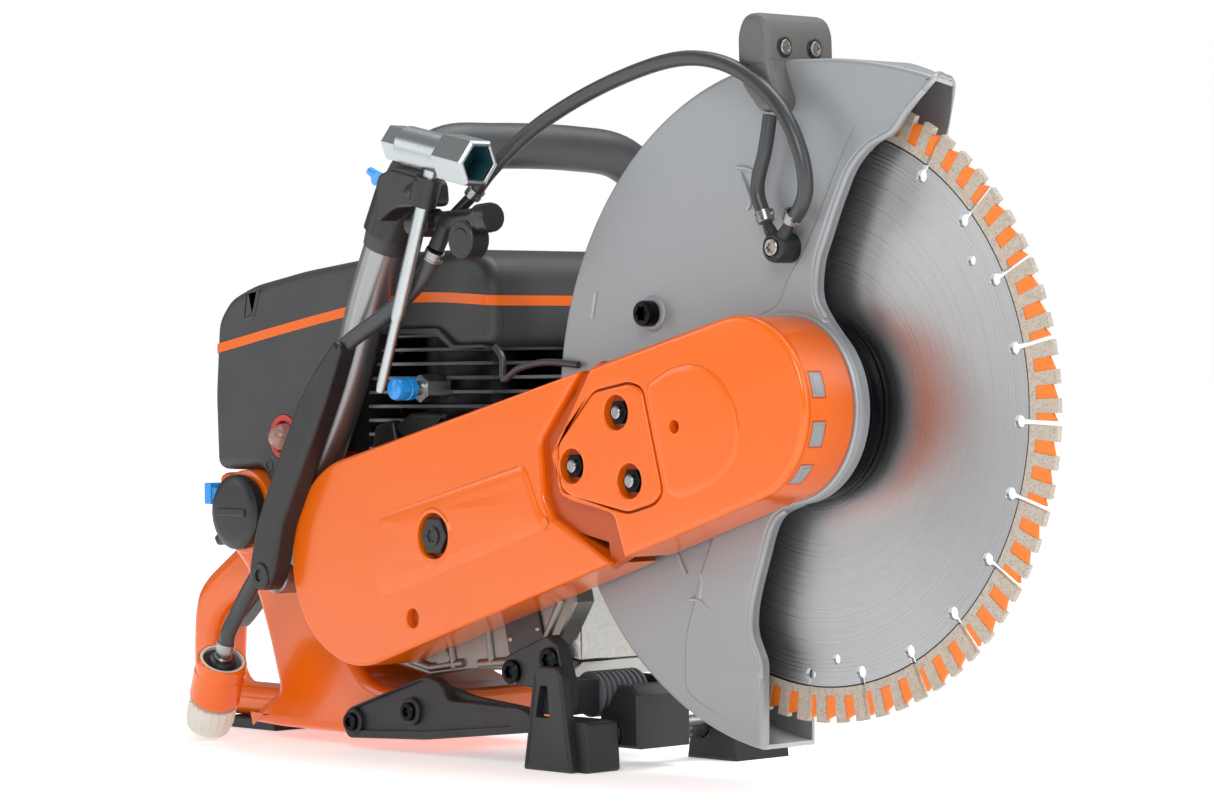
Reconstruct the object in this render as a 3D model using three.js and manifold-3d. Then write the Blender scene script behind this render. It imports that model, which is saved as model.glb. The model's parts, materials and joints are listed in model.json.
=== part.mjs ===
// A petrol concrete cut-off saw with a 400 mm diamond blade, as separate solids.
// Millimetres, +X towards the blade, +Y to the machine's left, +Z up.
// Everything is drawn from the blade's centre; the last lines move the saw onto its own base centre.
import * as THREE from "three";
import { mergeVertices } from "three/addons/utils/BufferGeometryUtils.js";
import Module from "manifold-3d";

const wasm = await Module();
wasm.setup();

// ---- driving dimensions -------------------------------------------------------------------
const GAP = 0.4; // clearance between touching pieces
const GROUND = -242; // floor below the blade's axis
const CRANK = { x: -380, z: -106 }; // crankshaft axis
const BLADE = { r: 200, half: 1.8, segments: 24, keyholeR: 169.5, keyhole: 4.2, slot: 3, bore: 12.7 };
const SHAFT_R = 8; // spindle and crankshaft journals
const PULLEY = { driven: 45, drive: 24, y0: -58, y1: -46 }; // belt seats
const BELT_IN = 0.6; // belt faces above the pulleys' seats
const BELT_OUT = 4;
const ARM = { front: 50, rear: 58, y0: -41, y1: -29.5, boss: 44 };
const COVER = { front: 58.5, rear: 73, y0: -73, y1: -29, wall: 3 };
const NUTS = [[-111, -2], [-154, -37], [-99, -46]];
const TENSIONER = { x: -294, z: -86 };
const GUARD = { r: 220, wall: 3, near0: -25, near1: -17, far0: 22, far1: 25, hub: 60.8, bore: 44.6 };
const FITTING = { x: 1, z: 101 }; // water connection on the guard
const HANDLE_R = 14.2;
const GRIP_R = 16;
const HOSE_R = 5.8; // inlet hose
const ARC_R = 5; // hose to the guard
const GUARD_HOSE_R = 4.5;
const FUEL_CAP = { x: -553, z: -76, r: 27.5 };
const PRIMER = { x: -516, z: -21, r: 11 };
const TANK = { y0: -34.5, y1: 90 };
const TOP = { y0: -30, y1: 100, wall: 3 };
const CYLINDER = { x: -366, y: 26, bore: 24 };
const DECOMP = { x: -350, z: 14 };
const WRENCH = { head: [-274, -85, 173], tip: [-336, -85, 12], r: 5 };
const COUPLER = { top: [-526, -80, -181], axis: [0.527, -0.167, 0.833], length: 60 };
const CROSS_TUBE = { x: -190, z: -219, r: 8 };

// ---- solids from three.js geometry --------------------------------------------------------
/** A closed geometry as a solid, turned the right way out. */
function solid(geometry) {
  const bare = geometry.clone();
  bare.deleteAttribute("normal");
  bare.deleteAttribute("uv");
  const merged = mergeVertices(bare, 1e-4);
  const vertProperties = merged.attributes.position.array;
  const triVerts = new Uint32Array(merged.index.array);
  const made = new wasm.Manifold(new wasm.Mesh({ numProp: 3, vertProperties, triVerts }));
  if (made.volume() >= 0) return made;
  for (let i = 0; i < triVerts.length; i += 3) {
    [triVerts[i], triVerts[i + 1]] = [triVerts[i + 1], triVerts[i]];
  }
  return new wasm.Manifold(new wasm.Mesh({ numProp: 3, vertProperties, triVerts }));
}

const join = (first, ...rest) => rest.reduce((sum, s) => sum.add(s), first);
const cut = (first, ...rest) => rest.reduce((left, s) => left.subtract(s), first);

/** An XZ outline carried along Y from y0 to y1, with chamfered rims. */
function plate(outline, y0, y1, bevel = 0) {
  const shape = new THREE.Shape(outline.map(([x, z]) => new THREE.Vector2(x, z)));
  const geometry = new THREE.ExtrudeGeometry(shape, {
    depth: y1 - y0 - 2 * bevel,
    bevelEnabled: bevel > 0,
    bevelThickness: bevel,
    bevelSize: bevel,
    bevelOffset: -bevel,
    bevelSegments: 1,
  });
  return solid(geometry.rotateX(Math.PI / 2).translate(0, y1 - bevel, 0));
}

function block(x0, x1, y0, y1, z0, z1) {
  const geometry = new THREE.BoxGeometry(x1 - x0, y1 - y0, z1 - z0);
  return solid(geometry.translate((x0 + x1) / 2, (y0 + y1) / 2, (z0 + z1) / 2));
}

/** A round bar along Y. */
function bar(x, z, r, y0, y1, sides = 18) {
  const geometry = new THREE.CylinderGeometry(r, r, y1 - y0, sides);
  return solid(geometry.translate(x, (y0 + y1) / 2, z));
}

/** A hexagonal bar along Y, of the given width across flats. */
const hex = (x, z, flats, y0, y1) => bar(x, z, flats / Math.sqrt(3), y0, y1, 6);

/** A round bar between two points, with a radius at each end. */
function rod(a, b, r, rEnd = r, sides = 14) {
  const from = new THREE.Vector3(...a);
  const to = new THREE.Vector3(...b);
  const along = to.clone().sub(from);
  const turn = new THREE.Quaternion().setFromUnitVectors(
    new THREE.Vector3(0, 1, 0),
    along.clone().normalize(),
  );
  const geometry = new THREE.CylinderGeometry(rEnd, r, along.length(), sides);
  const middle = from.add(to).multiplyScalar(0.5);
  return solid(geometry.applyQuaternion(turn).translate(middle.x, middle.y, middle.z));
}

/** A closed (radius, y) profile turned about the Y axis through x, z. */
function turned(profile, x = 0, z = 0, sides = 28) {
  const points = [...profile, profile[0]].map(([r, y]) => new THREE.Vector2(r, y));
  return solid(new THREE.LatheGeometry(points, sides).translate(x, 0, z));
}

/** A round tube along a smooth curve through the points. */
function tube(points, r, steps, sides = 12) {
  const curve = new THREE.CatmullRomCurve3(points.map((p) => new THREE.Vector3(...p)));
  const section = new THREE.Shape().absarc(0, 0, r, 0, 2 * Math.PI);
  const options = { extrudePath: curve, steps, curveSegments: sides / 2 };
  return solid(new THREE.ExtrudeGeometry(section, options));
}

/** Points on a circle, from one angle to another in degrees. */
function arc(cx, cz, r, from, to, steps) {
  return Array.from({ length: steps + 1 }, (_, i) => {
    const a = THREE.MathUtils.degToRad(from + ((to - from) * i) / steps);
    return [cx + r * Math.cos(a), cz + r * Math.sin(a)];
  });
}

/** The line of a belt round the blade's axis and the crankshaft's, at these radii. */
function beltLine(front, rear, steps = 12) {
  const reach = Math.hypot(CRANK.x, CRANK.z);
  const phi = THREE.MathUtils.radToDeg(Math.atan2(CRANK.z, CRANK.x));
  const beta = THREE.MathUtils.radToDeg(Math.acos((front - rear) / reach));
  return [
    ...arc(0, 0, front, phi + beta, phi + 360 - beta, steps),
    ...arc(CRANK.x, CRANK.z, rear, phi - beta, phi + beta, steps),
  ];
}

const along = (from, axis, distance) => from.map((v, i) => v + axis[i] * distance);

// ---- blade and its drive ------------------------------------------------------------------
/** The rim goes round in equal segments, with a keyhole slot between each two. */
function bladeOutline() {
  const pitch = 360 / BLADE.segments;
  const at = (r, across, degrees) => {
    const a = THREE.MathUtils.degToRad(degrees);
    const x = r * Math.cos(a) - across * Math.sin(a);
    return [x, r * Math.sin(a) + across * Math.cos(a)];
  };
  const points = [];
  for (let i = 0; i < BLADE.segments; i++) {
    const middle = i * pitch - 2.8;
    const half = BLADE.slot / 2;
    const edge = THREE.MathUtils.radToDeg(half / BLADE.r);
    points.push(at(BLADE.r, -half, middle), at(BLADE.keyholeR + BLADE.keyhole, -half, middle));
    for (const turn of [-90, 180, 90]) {
      const a = THREE.MathUtils.degToRad(turn);
      const r = BLADE.keyholeR + BLADE.keyhole * Math.cos(a);
      points.push(at(r, BLADE.keyhole * Math.sin(a), middle));
    }
    points.push(at(BLADE.keyholeR + BLADE.keyhole, half, middle), at(BLADE.r, half, middle));
    points.push(...arc(0, 0, BLADE.r, middle + edge + 2.5, middle + pitch - edge - 2.5, 3));
  }
  return points;
}

const blade = () =>
  cut(plate(bladeOutline(), -BLADE.half, BLADE.half), bar(0, 0, BLADE.bore, -5, 5, 32));

const FLANGE_Y = { inner: -15.3, outer: 12, nose: 1.7 };
const innerFlange = () =>
  turned([
    [SHAFT_R + GAP, FLANGE_Y.inner], [56, FLANGE_Y.inner], [59.7, -12], [59.7, -2.2],
    [BLADE.bore - GAP, -2.2], [BLADE.bore - GAP, FLANGE_Y.nose], [SHAFT_R + GAP, FLANGE_Y.nose],
  ]);

const outerFlange = () =>
  turned([[SHAFT_R + GAP, 2.2], [52, 2.2], [52, 8], [44, FLANGE_Y.outer], [SHAFT_R + GAP, FLANGE_Y.outer]]);

const spindleShaft = () =>
  cut(bar(0, 0, SHAFT_R, -62, FLANGE_Y.outer - 0.2), bar(0, 0, 5 + GAP, 0, FLANGE_Y.outer));

const bladeBolt = () =>
  join(hex(0, 0, 24, 14.5, 23), bar(0, 0, 15, FLANGE_Y.outer + GAP, 14.6), bar(0, 0, 5, 1, 13));

const spindleBearing = () => turned([[SHAFT_R + GAP, -39], [21, -39], [21, -20], [SHAFT_R + GAP, -20]]);

/** A pulley with a belt seat between two rims, from y0 - rim to y1 + rim. */
function pulleyProfile(seat) {
  const rim = 1.8;
  const inside = 0.3;
  return [
    [SHAFT_R + GAP, PULLEY.y0 - rim], [seat + 4.5, PULLEY.y0 - rim], [seat + 4.5, PULLEY.y0 - inside],
    [seat, PULLEY.y0 - inside], [seat, PULLEY.y1 + inside], [seat + 4.5, PULLEY.y1 + inside],
    [seat + 4.5, PULLEY.y1 + rim], [SHAFT_R + GAP, PULLEY.y1 + rim],
  ];
}
const drivenPulley = () => turned(pulleyProfile(PULLEY.driven));

const driveBelt = () =>
  cut(
    plate(beltLine(PULLEY.driven + BELT_OUT, PULLEY.drive + BELT_OUT), PULLEY.y0, PULLEY.y1),
    plate(beltLine(PULLEY.driven + BELT_IN, PULLEY.drive + BELT_IN), PULLEY.y0 - 1, PULLEY.y1 + 1),
  );

const clutchDrum = () =>
  join(
    turned(pulleyProfile(PULLEY.drive), CRANK.x, CRANK.z),
    turned(
      [[SHAFT_R + GAP, -61], [35, -61], [35, -68.5], [38, -68.5], [38, -58.8], [SHAFT_R + GAP, -58.8]],
      CRANK.x,
      CRANK.z,
    ),
  );

const crankshaft = () =>
  join(
    bar(CRANK.x, CRANK.z, SHAFT_R, -66, 80),
    bar(CRANK.x, CRANK.z, 30, 8, 20),
    bar(CRANK.x, CRANK.z, 30, 34, 46),
    bar(CRANK.x, CRANK.z + 17, 7, 19, 35),
  );

const flywheel = () =>
  turned(
    [[SHAFT_R + GAP, 62], [50, 62], [50, 74], [44, 74], [40, 68], [16, 68], [16, 78], [SHAFT_R + GAP, 78]],
    CRANK.x,
    CRANK.z,
  );

/** The plate that carries the blade's spindle, with the studs for the belt guard's nuts. */
function cuttingArm() {
  const studs = NUTS.flatMap(([x, z]) => [bar(x, z, 7.5, -62.6, -40), bar(x, z, 4, -73, -62)]);
  const body = join(
    plate(beltLine(ARM.front, ARM.rear), ARM.y0, ARM.y1),
    bar(0, 0, ARM.boss, -35, -17, 32),
    ...studs,
  );
  return cut(body, bar(0, 0, 21 + GAP, -45, -10, 28), bar(CRANK.x, CRANK.z, 22, -45, -20));
}

// ---- belt guards --------------------------------------------------------------------------
const SEAM_FRONT = [[-136, 90], [-136, 27], [-133, 9], [-176, -28], [-167, -57], [-117, -68], [-108, -81]];
const SEAM_REAR = [[-146, 90], [-146, 26], [-151, 15], [-186, -21], [-183, -58], [-174, -72], [-121, -82]];
const SEAM_FOOT = { front: [-97, -160], rear: [-113, -160] };

function coverShell() {
  const inner = beltLine(COVER.front - COVER.wall, COVER.rear - COVER.wall);
  return cut(
    plate(beltLine(COVER.front, COVER.rear), COVER.y0, COVER.y1, 2),
    plate(inner, COVER.y0 + COVER.wall, COVER.y1 + 1),
  );
}

function frontBeltGuard() {
  const region = [...SEAM_FRONT, SEAM_FOOT.front, [90, -160], [90, 90]];
  const pockets = NUTS.map(([x, z]) => bar(x, z, 11.5, COVER.y0 - 1, COVER.y0 + 4));
  const kept = coverShell().intersect(plate(region, COVER.y0 - 1, COVER.y1 + 1));
  return cut(kept, ...pockets, bar(-56, -11, 3.5, COVER.y0 - 1, COVER.y0 + 4));
}

function rearBeltCover() {
  const region = [[-480, 90], ...SEAM_REAR, SEAM_FOOT.rear, [-113, -220], [-480, -220]];
  region.splice(1, 1, [-148, 90]);
  const kept = coverShell().intersect(plate(region.reverse(), COVER.y0 - 1, COVER.y1 + 1));
  return cut(
    kept,
    bar(TENSIONER.x, TENSIONER.z, 15, COVER.y0 - 1, COVER.y0 + 4),
    bar(-319, -143, 4.5, COVER.y0 - 1, COVER.y0 + 4),
  );
}

const beltTensioner = () =>
  join(
    hex(TENSIONER.x, TENSIONER.z, 22, -71, -64),
    bar(TENSIONER.x, TENSIONER.z, 8, -66, -50),
    bar(TENSIONER.x + 3, TENSIONER.z, 12, -52, ARM.y0 - GAP),
  );

const armNut = ([x, z]) => cut(hex(x, z, 13, -71, -63), bar(x, z, 4 + GAP, -75, -60));

// ---- blade guard --------------------------------------------------------------------------
const NOSE = [[141, 197], [118, 203], [89, 210], [48, 217]]; // the rim rises off its circle here
const TAIL_DEGREES = 262;
const CUTOUT_LOW = [[-30, -172], [-30, -162], [-38, -144], [-38, -129], [-28, -98], [-15, -70], [6, -61]];
const CUTOUT_HIGH = [[39, 47], [31, 56], [23, 69], [24, 90], [32, 109], [43, 132], [54, 150], [69, 162],
  [89, 170], [101, 182], [119, 196]];

/** The rim's line, moved out from the blade's axis by this much. */
function rimLine(out) {
  const nose = NOSE.map(([x, z]) => {
    const k = 1 + out / Math.hypot(x, z);
    return [x * k, z * k];
  });
  return [...nose, ...arc(0, 0, GUARD.r + out, 91, TAIL_DEGREES, 28)];
}

function bladeGuard() {
  const side = (shrink) => [...rimLine(0), ...CUTOUT_LOW, [0, 0], ...CUTOUT_HIGH.slice(shrink)];
  const rim = [...rimLine(0), ...rimLine(-GUARD.wall).reverse()];
  const body = join(
    plate(side(0), GUARD.near0, GUARD.near1, 1.5),
    plate(side(0), GUARD.far0, GUARD.far1),
    plate(rim, GUARD.near1 - 2, GUARD.far0 + 1),
    bar(0, 0, GUARD.hub, -28.6, GUARD.near1, 40),
    bar(0, 0, 76, GUARD.far0, GUARD.far1, 32),
  );
  const slant = new THREE.BoxGeometry(100, 160, 120).rotateZ(Math.atan2(30, 50));
  const past = solid(slant.translate(153.9, 25.7, 220)); // the nose ends sooner on the far side
  return cut(body, past, bar(0, 0, GUARD.bore, -40, 0, 32), bar(0, 0, 62, 10, 40, 32));
}

// The grip stands across the rim, with an apron down the near plate that takes the hose.
const GRIP_BLOCK = [[-28, 205], [-28, 240], [-22, 247], [-9, 247], [-3, 240], [-3, 205]];
const GRIP_APRON = [[-28, 216], [-27, 204], [-10, 186], [5, 186], [7, 194], [-3, 216]];
function guardGrip() {
  const body = join(
    plate(GRIP_BLOCK, -41.2, 17.5, 3),
    plate(GRIP_APRON, -41.2, -24, 2),
  );
  const room = [...rimLine(0.7), [0, 0]];
  return cut(body, plate(room, GUARD.near0 - GAP, 40));
}

function guardWaterFitting() {
  const { x, z } = FITTING;
  return join(
    bar(x, z, 9.5, -42, GUARD.near0 - GAP),
    rod([x, -36, z], [x - 9.5, -36, z + 15], 3.6),
    rod([x, -37, z], [x + 11.5, -37, z + 14.5], 3.6),
  );
}

const guardHose = () =>
  tube([[-9.5, -36, 117.5], [-17, -36, 138], [-9, -36.5, 164], [-4.5, -36.5, 184.4]], GUARD_HOSE_R, 12, 8);

// ---- water system -------------------------------------------------------------------------
const arcHose = () =>
  tube(
    [
      [-265, -60, 144.4], [-250, -57, 160], [-211, -50, 188], [-134, -47, 215], [-66, -47, 224],
      [-21, -47, 213], [15, -47, 187], [32, -46, 156], [32, -43, 135], [24, -40, 124], [14.2, -37.2, 117.6],
    ],
    ARC_R,
    32,
    8,
  );

const waterValve = () =>
  join(
    rod([-322, -66, 126], [-240, -70, 128], 7.5),
    rod([-246, -70, 127.8], [-232, -70.6, 128.2], 9.5),
    bar(-257, 114, 13, -78, -64),
    rod([-282, -70, 124], [-289, -73, 109], 5.8),
    rod([-282, -67, 128], [-266, -60.4, 143.4], 4),
    hex(-300, 127, 17, -78, -60),
  );

const waterValveLever = () =>
  join(rod([-377, -48, 160.5], [-390, -48, 167], 4, 3), bar(-377, 160.5, 4.5, -54, -42));

const INLET_ROUTE = [[-289.8, -73.3, 107], [-302, -73, 91], [-325, -73, 75], [-345, -74, 64], [-381, -78, 45],
  [-403, -81, 26], [-419, -81, 0], [-436, -81, -40], [-452, -81, -76], [-467, -80, -100]];
const inletHose = () => tube(INLET_ROUTE, HOSE_R, 30, 10);

const GUIDE = [[-406, 30], [-412, 24], [-428, 4], [-460, -50], [-476, -81], [-486, -116], [-478, -131],
  [-462, -131], [-452, -118], [-443, -84], [-423, -50], [-391, 5], [-372, 44], [-382, 52]];
function hoseGuide() {
  const pads = [[-404, 20], [-458, -76]].map(([x, z]) => bar(x, z, 6, -76, -64.7));
  const channel = tube([...INLET_ROUTE, ...TAIL_ROUTE.slice(1, 5)], HOSE_R + 1, 40, 10);
  return cut(join(plate(GUIDE, -89, -73.4, 2), ...pads), channel);
}

const TAIL_ROUTE = [[-467.8, -80, -101.3], [-474.5, -80, -110.5], [-484, -80, -120], [-496, -80, -133],
  [-506, -81, -147], along(COUPLER.top, COUPLER.axis, 24), along(COUPLER.top, COUPLER.axis, 14.8)];
const inletTail = () => tube(TAIL_ROUTE, HOSE_R, 14, 8);

/** The coupler's core: a hose nipple above and a socket for the supply hose below. */
function couplerBody() {
  const { top, axis, length } = COUPLER;
  const body = join(
    rod(top, along(top, axis, 14), 4.5),
    rod(along(top, axis, 2), along(top, axis, -length + 22), 13.5),
    rod(along(top, axis, -length + 24), along(top, axis, -length), 17, 15.5, 24),
  );
  return cut(body, rod(along(top, axis, -length - 1), along(top, axis, -length + 16), 8.5));
}

function couplerSleeve() {
  const { top, axis, length } = COUPLER;
  const low = along(top, axis, -length + 25);
  return cut(
    rod(low, along(top, axis, 1), 18.5, 17, 24),
    rod(along(low, axis, -1), along(top, axis, 3), 13.5 + GAP, 13.5 + GAP, 24),
  );
}

// ---- front handle and what it carries -----------------------------------------------------
const HANDLE_ROUTE = [[-481, -50, -107], [-456, -50, -58], [-414, -50, 20], [-387, -49, 87],
  [-361, -48, 137], [-348, -42, 166], [-341, -20, 181], [-336, 20, 184], [-330, 90, 184],
  [-326, 130, 179], [-325, 154, 162], [-332, 163, 130], [-360, 163, 70], [-400, 160, 0],
  [-446, 150, -70], [-476, 128, -108], [-487, 106, -118]];
const HANDLE_STEPS = 34;
const LEG_END = { x: -487, z: -116, r: 17 };

/** The stretch of the handle's centre line between two fractions of its length. */
function handleStretch(from, to, count) {
  const curve = new THREE.CatmullRomCurve3(HANDLE_ROUTE.map((p) => new THREE.Vector3(...p)));
  return Array.from({ length: count + 1 }, (_, i) =>
    curve.getPointAt(from + ((to - from) * i) / count).toArray(),
  );
}

const frontHandleTube = () =>
  join(
    tube(handleStretch(0, 1, HANDLE_STEPS), HANDLE_R, HANDLE_STEPS),
    plate(arc(LEG_END.x, LEG_END.z, LEG_END.r, 0, 340, 17), -63, -35),
    rod([-487, 108, -118], [-487, TANK.y1 + GAP, -118], 16),
  );

const GRIP_LOW = 110; // the rubber sleeve covers the tube above this height
function handleGrip() {
  const route = handleStretch(0, 1, HANDLE_STEPS);
  const sleeve = cut(tube(route, GRIP_R, HANDLE_STEPS), tube(route, HANDLE_R + GAP, HANDLE_STEPS));
  return sleeve.intersect(block(-420, -260, -120, 220, GRIP_LOW, 240));
}

/** A clamp round the grip with a sleeve that holds the wrench's neck. */
function wrenchHolder() {
  const [hx, hy, hz] = WRENCH.head;
  const down = new THREE.Vector3(...WRENCH.tip).sub(new THREE.Vector3(...WRENCH.head)).normalize();
  const neck = (distance) => along([hx, hy, hz], down.toArray(), distance);
  const body = join(
    rod([-368, -48, 122], [-351, -47, 156], 19.5, 19.5, 20),
    rod([-342, -58, 148], neck(26), 7),
    rod(neck(18), neck(38), 9),
  );
  return cut(
    body,
    tube(handleStretch(0, 1, HANDLE_STEPS), GRIP_R + GAP, HANDLE_STEPS),
    rod(neck(-5), neck(60), WRENCH.r + GAP + 0.2),
  );
}

function combinationWrench() {
  const [hx, hy, hz] = WRENCH.head;
  const head = [0.977, 0, -0.213]; // along the two sockets
  const end = (distance) => along([hx, hy, hz], head, distance);
  const tip = new THREE.Vector3(...WRENCH.tip);
  const middle = tip.clone().lerp(new THREE.Vector3(hx, hy, hz), 0.32).toArray();
  const body = join(
    rod(end(-44), end(-26), 12, 12, 6),
    rod(end(-28), end(18), 13.5),
    rod(end(14), end(46), 15.5, 15.5, 6),
    rod(middle, [hx, hy, hz], WRENCH.r),
    rod(WRENCH.tip, middle, 3.6, 3.6, 6),
  );
  return cut(body, rod(end(24), end(50), 13, 13, 6), rod(end(-50), end(-30), 9, 9, 6));
}

// ---- engine -------------------------------------------------------------------------------
const CASE_TOP = -46;
function crankcase() {
  const lower = [[-405, -178], [-354, -187], [-311, -181], [-259, -178], [-218, -156], [-200, -130],
    [-212, -80], [-300, -70], [-420, -90]];
  const { x, y, bore } = CYLINDER;
  const body = join(
    bar(CRANK.x, CRANK.z, 60, -28.9, 58, 32),
    plate(lower.reverse(), -28.9, -11, 1.5),
    block(x - 48, x + 44, y - 34, y + 32, -80, CASE_TOP),
  );
  return cut(
    body,
    bar(0, 0, GUARD.r + 2.5, -40, 80, 60),
    bar(CRANK.x, CRANK.z, SHAFT_R + 0.6, -40, 70),
    bar(CRANK.x, CRANK.z, 36, 4, 50),
    rod([x, y, CRANK.z], [x, y, 0], bore),
  );
}

/** A barrel with square cooling fins and a blind bore. */
function cylinder() {
  const { x, y, bore } = CYLINDER;
  const fins = Array.from({ length: 9 }, (_, i) => {
    const z = -30 + i * 10;
    return block(x - 68, x + 68, y - 42, y + 42, z, z + 2.5);
  });
  const body = join(rod([x, y, CASE_TOP + GAP], [x, y, 60], 34, 34, 20), ...fins);
  return cut(body, rod([x, y, -60], [x, y, 44], bore));
}

const sparkPlug = () => {
  const { x, y } = CYLINDER;
  return join(rod([x, y, 60 + GAP], [x, y, 70], 11, 11, 6), rod([x, y, 69], [x, y, 96], 6));
};

const decompressionValve = () =>
  join(hex(DECOMP.x, DECOMP.z, 17, -38, -16 - GAP), bar(DECOMP.x, DECOMP.z, 6, -49, -37));

const decompressionButton = () =>
  cut(bar(DECOMP.x, DECOMP.z, 8, -60, -43), bar(DECOMP.x, DECOMP.z, 6 + GAP, -54, -42));

/** A pressed box with its outlet on the left, low down. */
const muffler = () =>
  cut(
    plate([[-292, -172], [-280, -185], [-238, -185], [-224.5, -172], [-224.5, -40], [-236, -27],
      [-280, -27], [-292, -40]], -10.5, 92, 8),
    plate([[-289, -170], [-279, -182], [-239, -182], [-227.5, -170], [-227.5, -42], [-237, -30],
      [-279, -30], [-289, -42]], -3, 84, 2),
    bar(-258, -150, 11, 80, 100),
  );

const carburettor = () =>
  join(
    block(-474, -446, 6, 60, -18, 30),
    rod([-447, 32, 6], [-434.5 - GAP, 32, 6], 18),
    rod([-480, 32, 6], [-473, 32, 6], 20),
  );

const airFilter = () => plate([[-574, -34], [-481, -34], [-481, 62], [-500, 76], [-560, 70], [-574, 56]],
  0, 84, 6);

function starterHousing() {
  return cut(
    turned([[0, 61], [70, 61], [70, 108], [58, 118], [0, 118]], CRANK.x, CRANK.z, 36),
    bar(CRANK.x, CRANK.z, 66, 50, 104, 32),
  );
}

const STARTER = { x: -385, y: 110, z: -5 };
const starterRope = () => rod([STARTER.x, STARTER.y, -35.6], [STARTER.x, STARTER.y, -16], 2, 2, 8);
const starterHandle = () =>
  join(
    rod([STARTER.x, STARTER.y, -15.6], [STARTER.x, STARTER.y, STARTER.z], 5, 7),
    rod([STARTER.x - 20, STARTER.y, STARTER.z + 4], [STARTER.x + 20, STARTER.y, STARTER.z + 4], 7.5),
  );

// ---- covers, tank and controls ------------------------------------------------------------
const TOP_ROOF = [[-281, 43], [-281, 92], [-290, 104], [-310, 110], [-400, 110], [-424, 107],
  [-494, 100], [-554, 91], [-582, 82], [-597, 66], [-602, 10], [-600, -45.5]];
const TOP_SKIRT = [[-540, -45.5], [-540, -72], [-466, -72], [-452, -40], [-430, 20], [-412, 53],
  [-338, 53], [-321, 41]];
const TOP_ROOM = [[-284, -200], [-284, 92], [-292, 101], [-310, 107], [-400, 107], [-424, 104],
  [-494, 97], [-554, 88], [-580, 79], [-594, 65], [-599, 10], [-597, -200]];

const topCover = () =>
  cut(
    plate([...TOP_ROOF, ...TOP_SKIRT], TOP.y0, TOP.y1, 2),
    plate(TOP_ROOM, TOP.y0 + TOP.wall, TOP.y1 - TOP.wall),
    bar(FUEL_CAP.x, FUEL_CAP.z, 31.8, -50, -10),
    bar(PRIMER.x, PRIMER.z, PRIMER.r + 0.6, -50, -10),
  );

const primerBulb = () =>
  turned([[0, -40], [5, -39.2], [9, -36.5], [PRIMER.r, -32], [PRIMER.r, -22], [0, -22]],
    PRIMER.x, PRIMER.z, 24);

const TANK_LINE = [[-592, -47.5], [-588, -95], [-560, -118], [-545, -141], [-533, -170], [-521, -206],
  [-540, -216], [-560, -231], [-520, -233], [-430, -233], [-350, -224], [-350, -198], [-400, -198],
  [-420, -192], [-438, -175], [-452, -150], [-452, -73.5], [-536, -73.5], [-541, -47.5]];
const LOOP_LINE = [[-580, -78], [-619, -100], [-664, -128], [-676, -139], [-682, -156], [-684, -179],
  [-684, -222], [-676, -231], [-640, -233.5], [-540, -233.5], [-535, -120]];
const LOOP_WINDOW = [[-558, -128], [-600, -134], [-640, -152], [-654, -166], [-656, -200], [-646, -210],
  [-522, -210]];
const LOOP = { y0: 6, y1: 44 };
const TRIGGER = { x: -600, z: -128, y0: 17.5, y1: 32.5 };
const TRIGGER_ROOM = [[-590, -118], [-590, -140], [-660, -185], [-650, -156], [-640, -146], [-606, -119]];
const LOCKOUT = { x: -612, z: -91 };

/** The tank and the rear handle are one moulding, so they are one solid. */
function fuelTankHandle() {
  const loop = cut(plate(LOOP_LINE, LOOP.y0, LOOP.y1, 6), plate(LOOP_WINDOW, 0, 50));
  const body = join(
    plate(TANK_LINE, TANK.y0, TANK.y1, 4),
    loop,
    bar(FUEL_CAP.x, FUEL_CAP.z, 31, -38, -20, 36),
  );
  return cut(
    body,
    bar(CRANK.x, CRANK.z, 74.5, -40, -28.4, 48),
    bar(CRANK.x, CRANK.z, 64, -30, 60, 40),
    bar(CRANK.x, CRANK.z, 72, 56, 95, 40),
    bar(FUEL_CAP.x, FUEL_CAP.z, 18.6, -45, -24),
    plate(TRIGGER_ROOM, TRIGGER.y0 - 1, TRIGGER.y1 + 1),
    plate([[-604, -80], [-604, -99], [-622, -109], [-640, -90]], 16, 34),
    block(-620, -588, -27, -11, -73, -55),
  );
}

const fuelCap = () =>
  join(
    turned([[0, -50], [24, -50], [FUEL_CAP.r, -47], [FUEL_CAP.r, -38.4], [0, -38.4]],
      FUEL_CAP.x, FUEL_CAP.z, 36),
    bar(FUEL_CAP.x, FUEL_CAP.z, 18, -39, -28),
  );

const throttleTrigger = () =>
  plate([[-597, -127], [-600, -137], [-616, -148], [-634, -163], [-641, -168], [-645, -164],
    [-640, -155], [-624, -140], [-606, -126]], TRIGGER.y0, TRIGGER.y1, 1.5);

const throttleLockout = () =>
  plate([[-608, -86], [-609, -94], [-616, -99], [-640, -104], [-664, -106], [-668, -100], [-660, -94],
    [-636, -88], [-616, -83]], 18, 32, 1.5);

const chokeLever = () => join(block(-614, -590, -24, -14, -68, -60), block(-619, -611, -26, -12, -72, -56));

// ---- under-frame --------------------------------------------------------------------------
const BRACKET = [[-432, -226], [-427, -213], [-340, -185], [-324, -189], [-317, -201], [-240, -202],
  [-230, -206], [-230, -218], [-341, -230], [-427, -234]];
const sideBracket = () => plate([...BRACKET].reverse(), -42, -35, 1);

const footBracket = () =>
  join(
    plate([[-262, -180], [-252, -186], [-232, -188], [-224, -205], [-198, -205], [-196, -190],
      [-206, -158], [-216, -152], [-258, -168]], -42, -29.4, 1),
    block(-224, -200, -32, -8.8, -205, -182),
  );

function frontFootRight() {
  const wall = [[-232, GROUND], [-183, GROUND], [-193, -178], [-198, -172], [-216, -172], [-221, -180]];
  const window = [[-218, -206], [-204, -206], [-207, -186], [-214, -186]];
  return cut(
    join(plate(wall, -49, -42.4, 1), block(-229.5, -174, -43, -13, GROUND, -208)),
    plate(window, -60, -40),
    block(-222, -182, -60, -20, GROUND - 1, GROUND + 2),
  );
}

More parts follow.
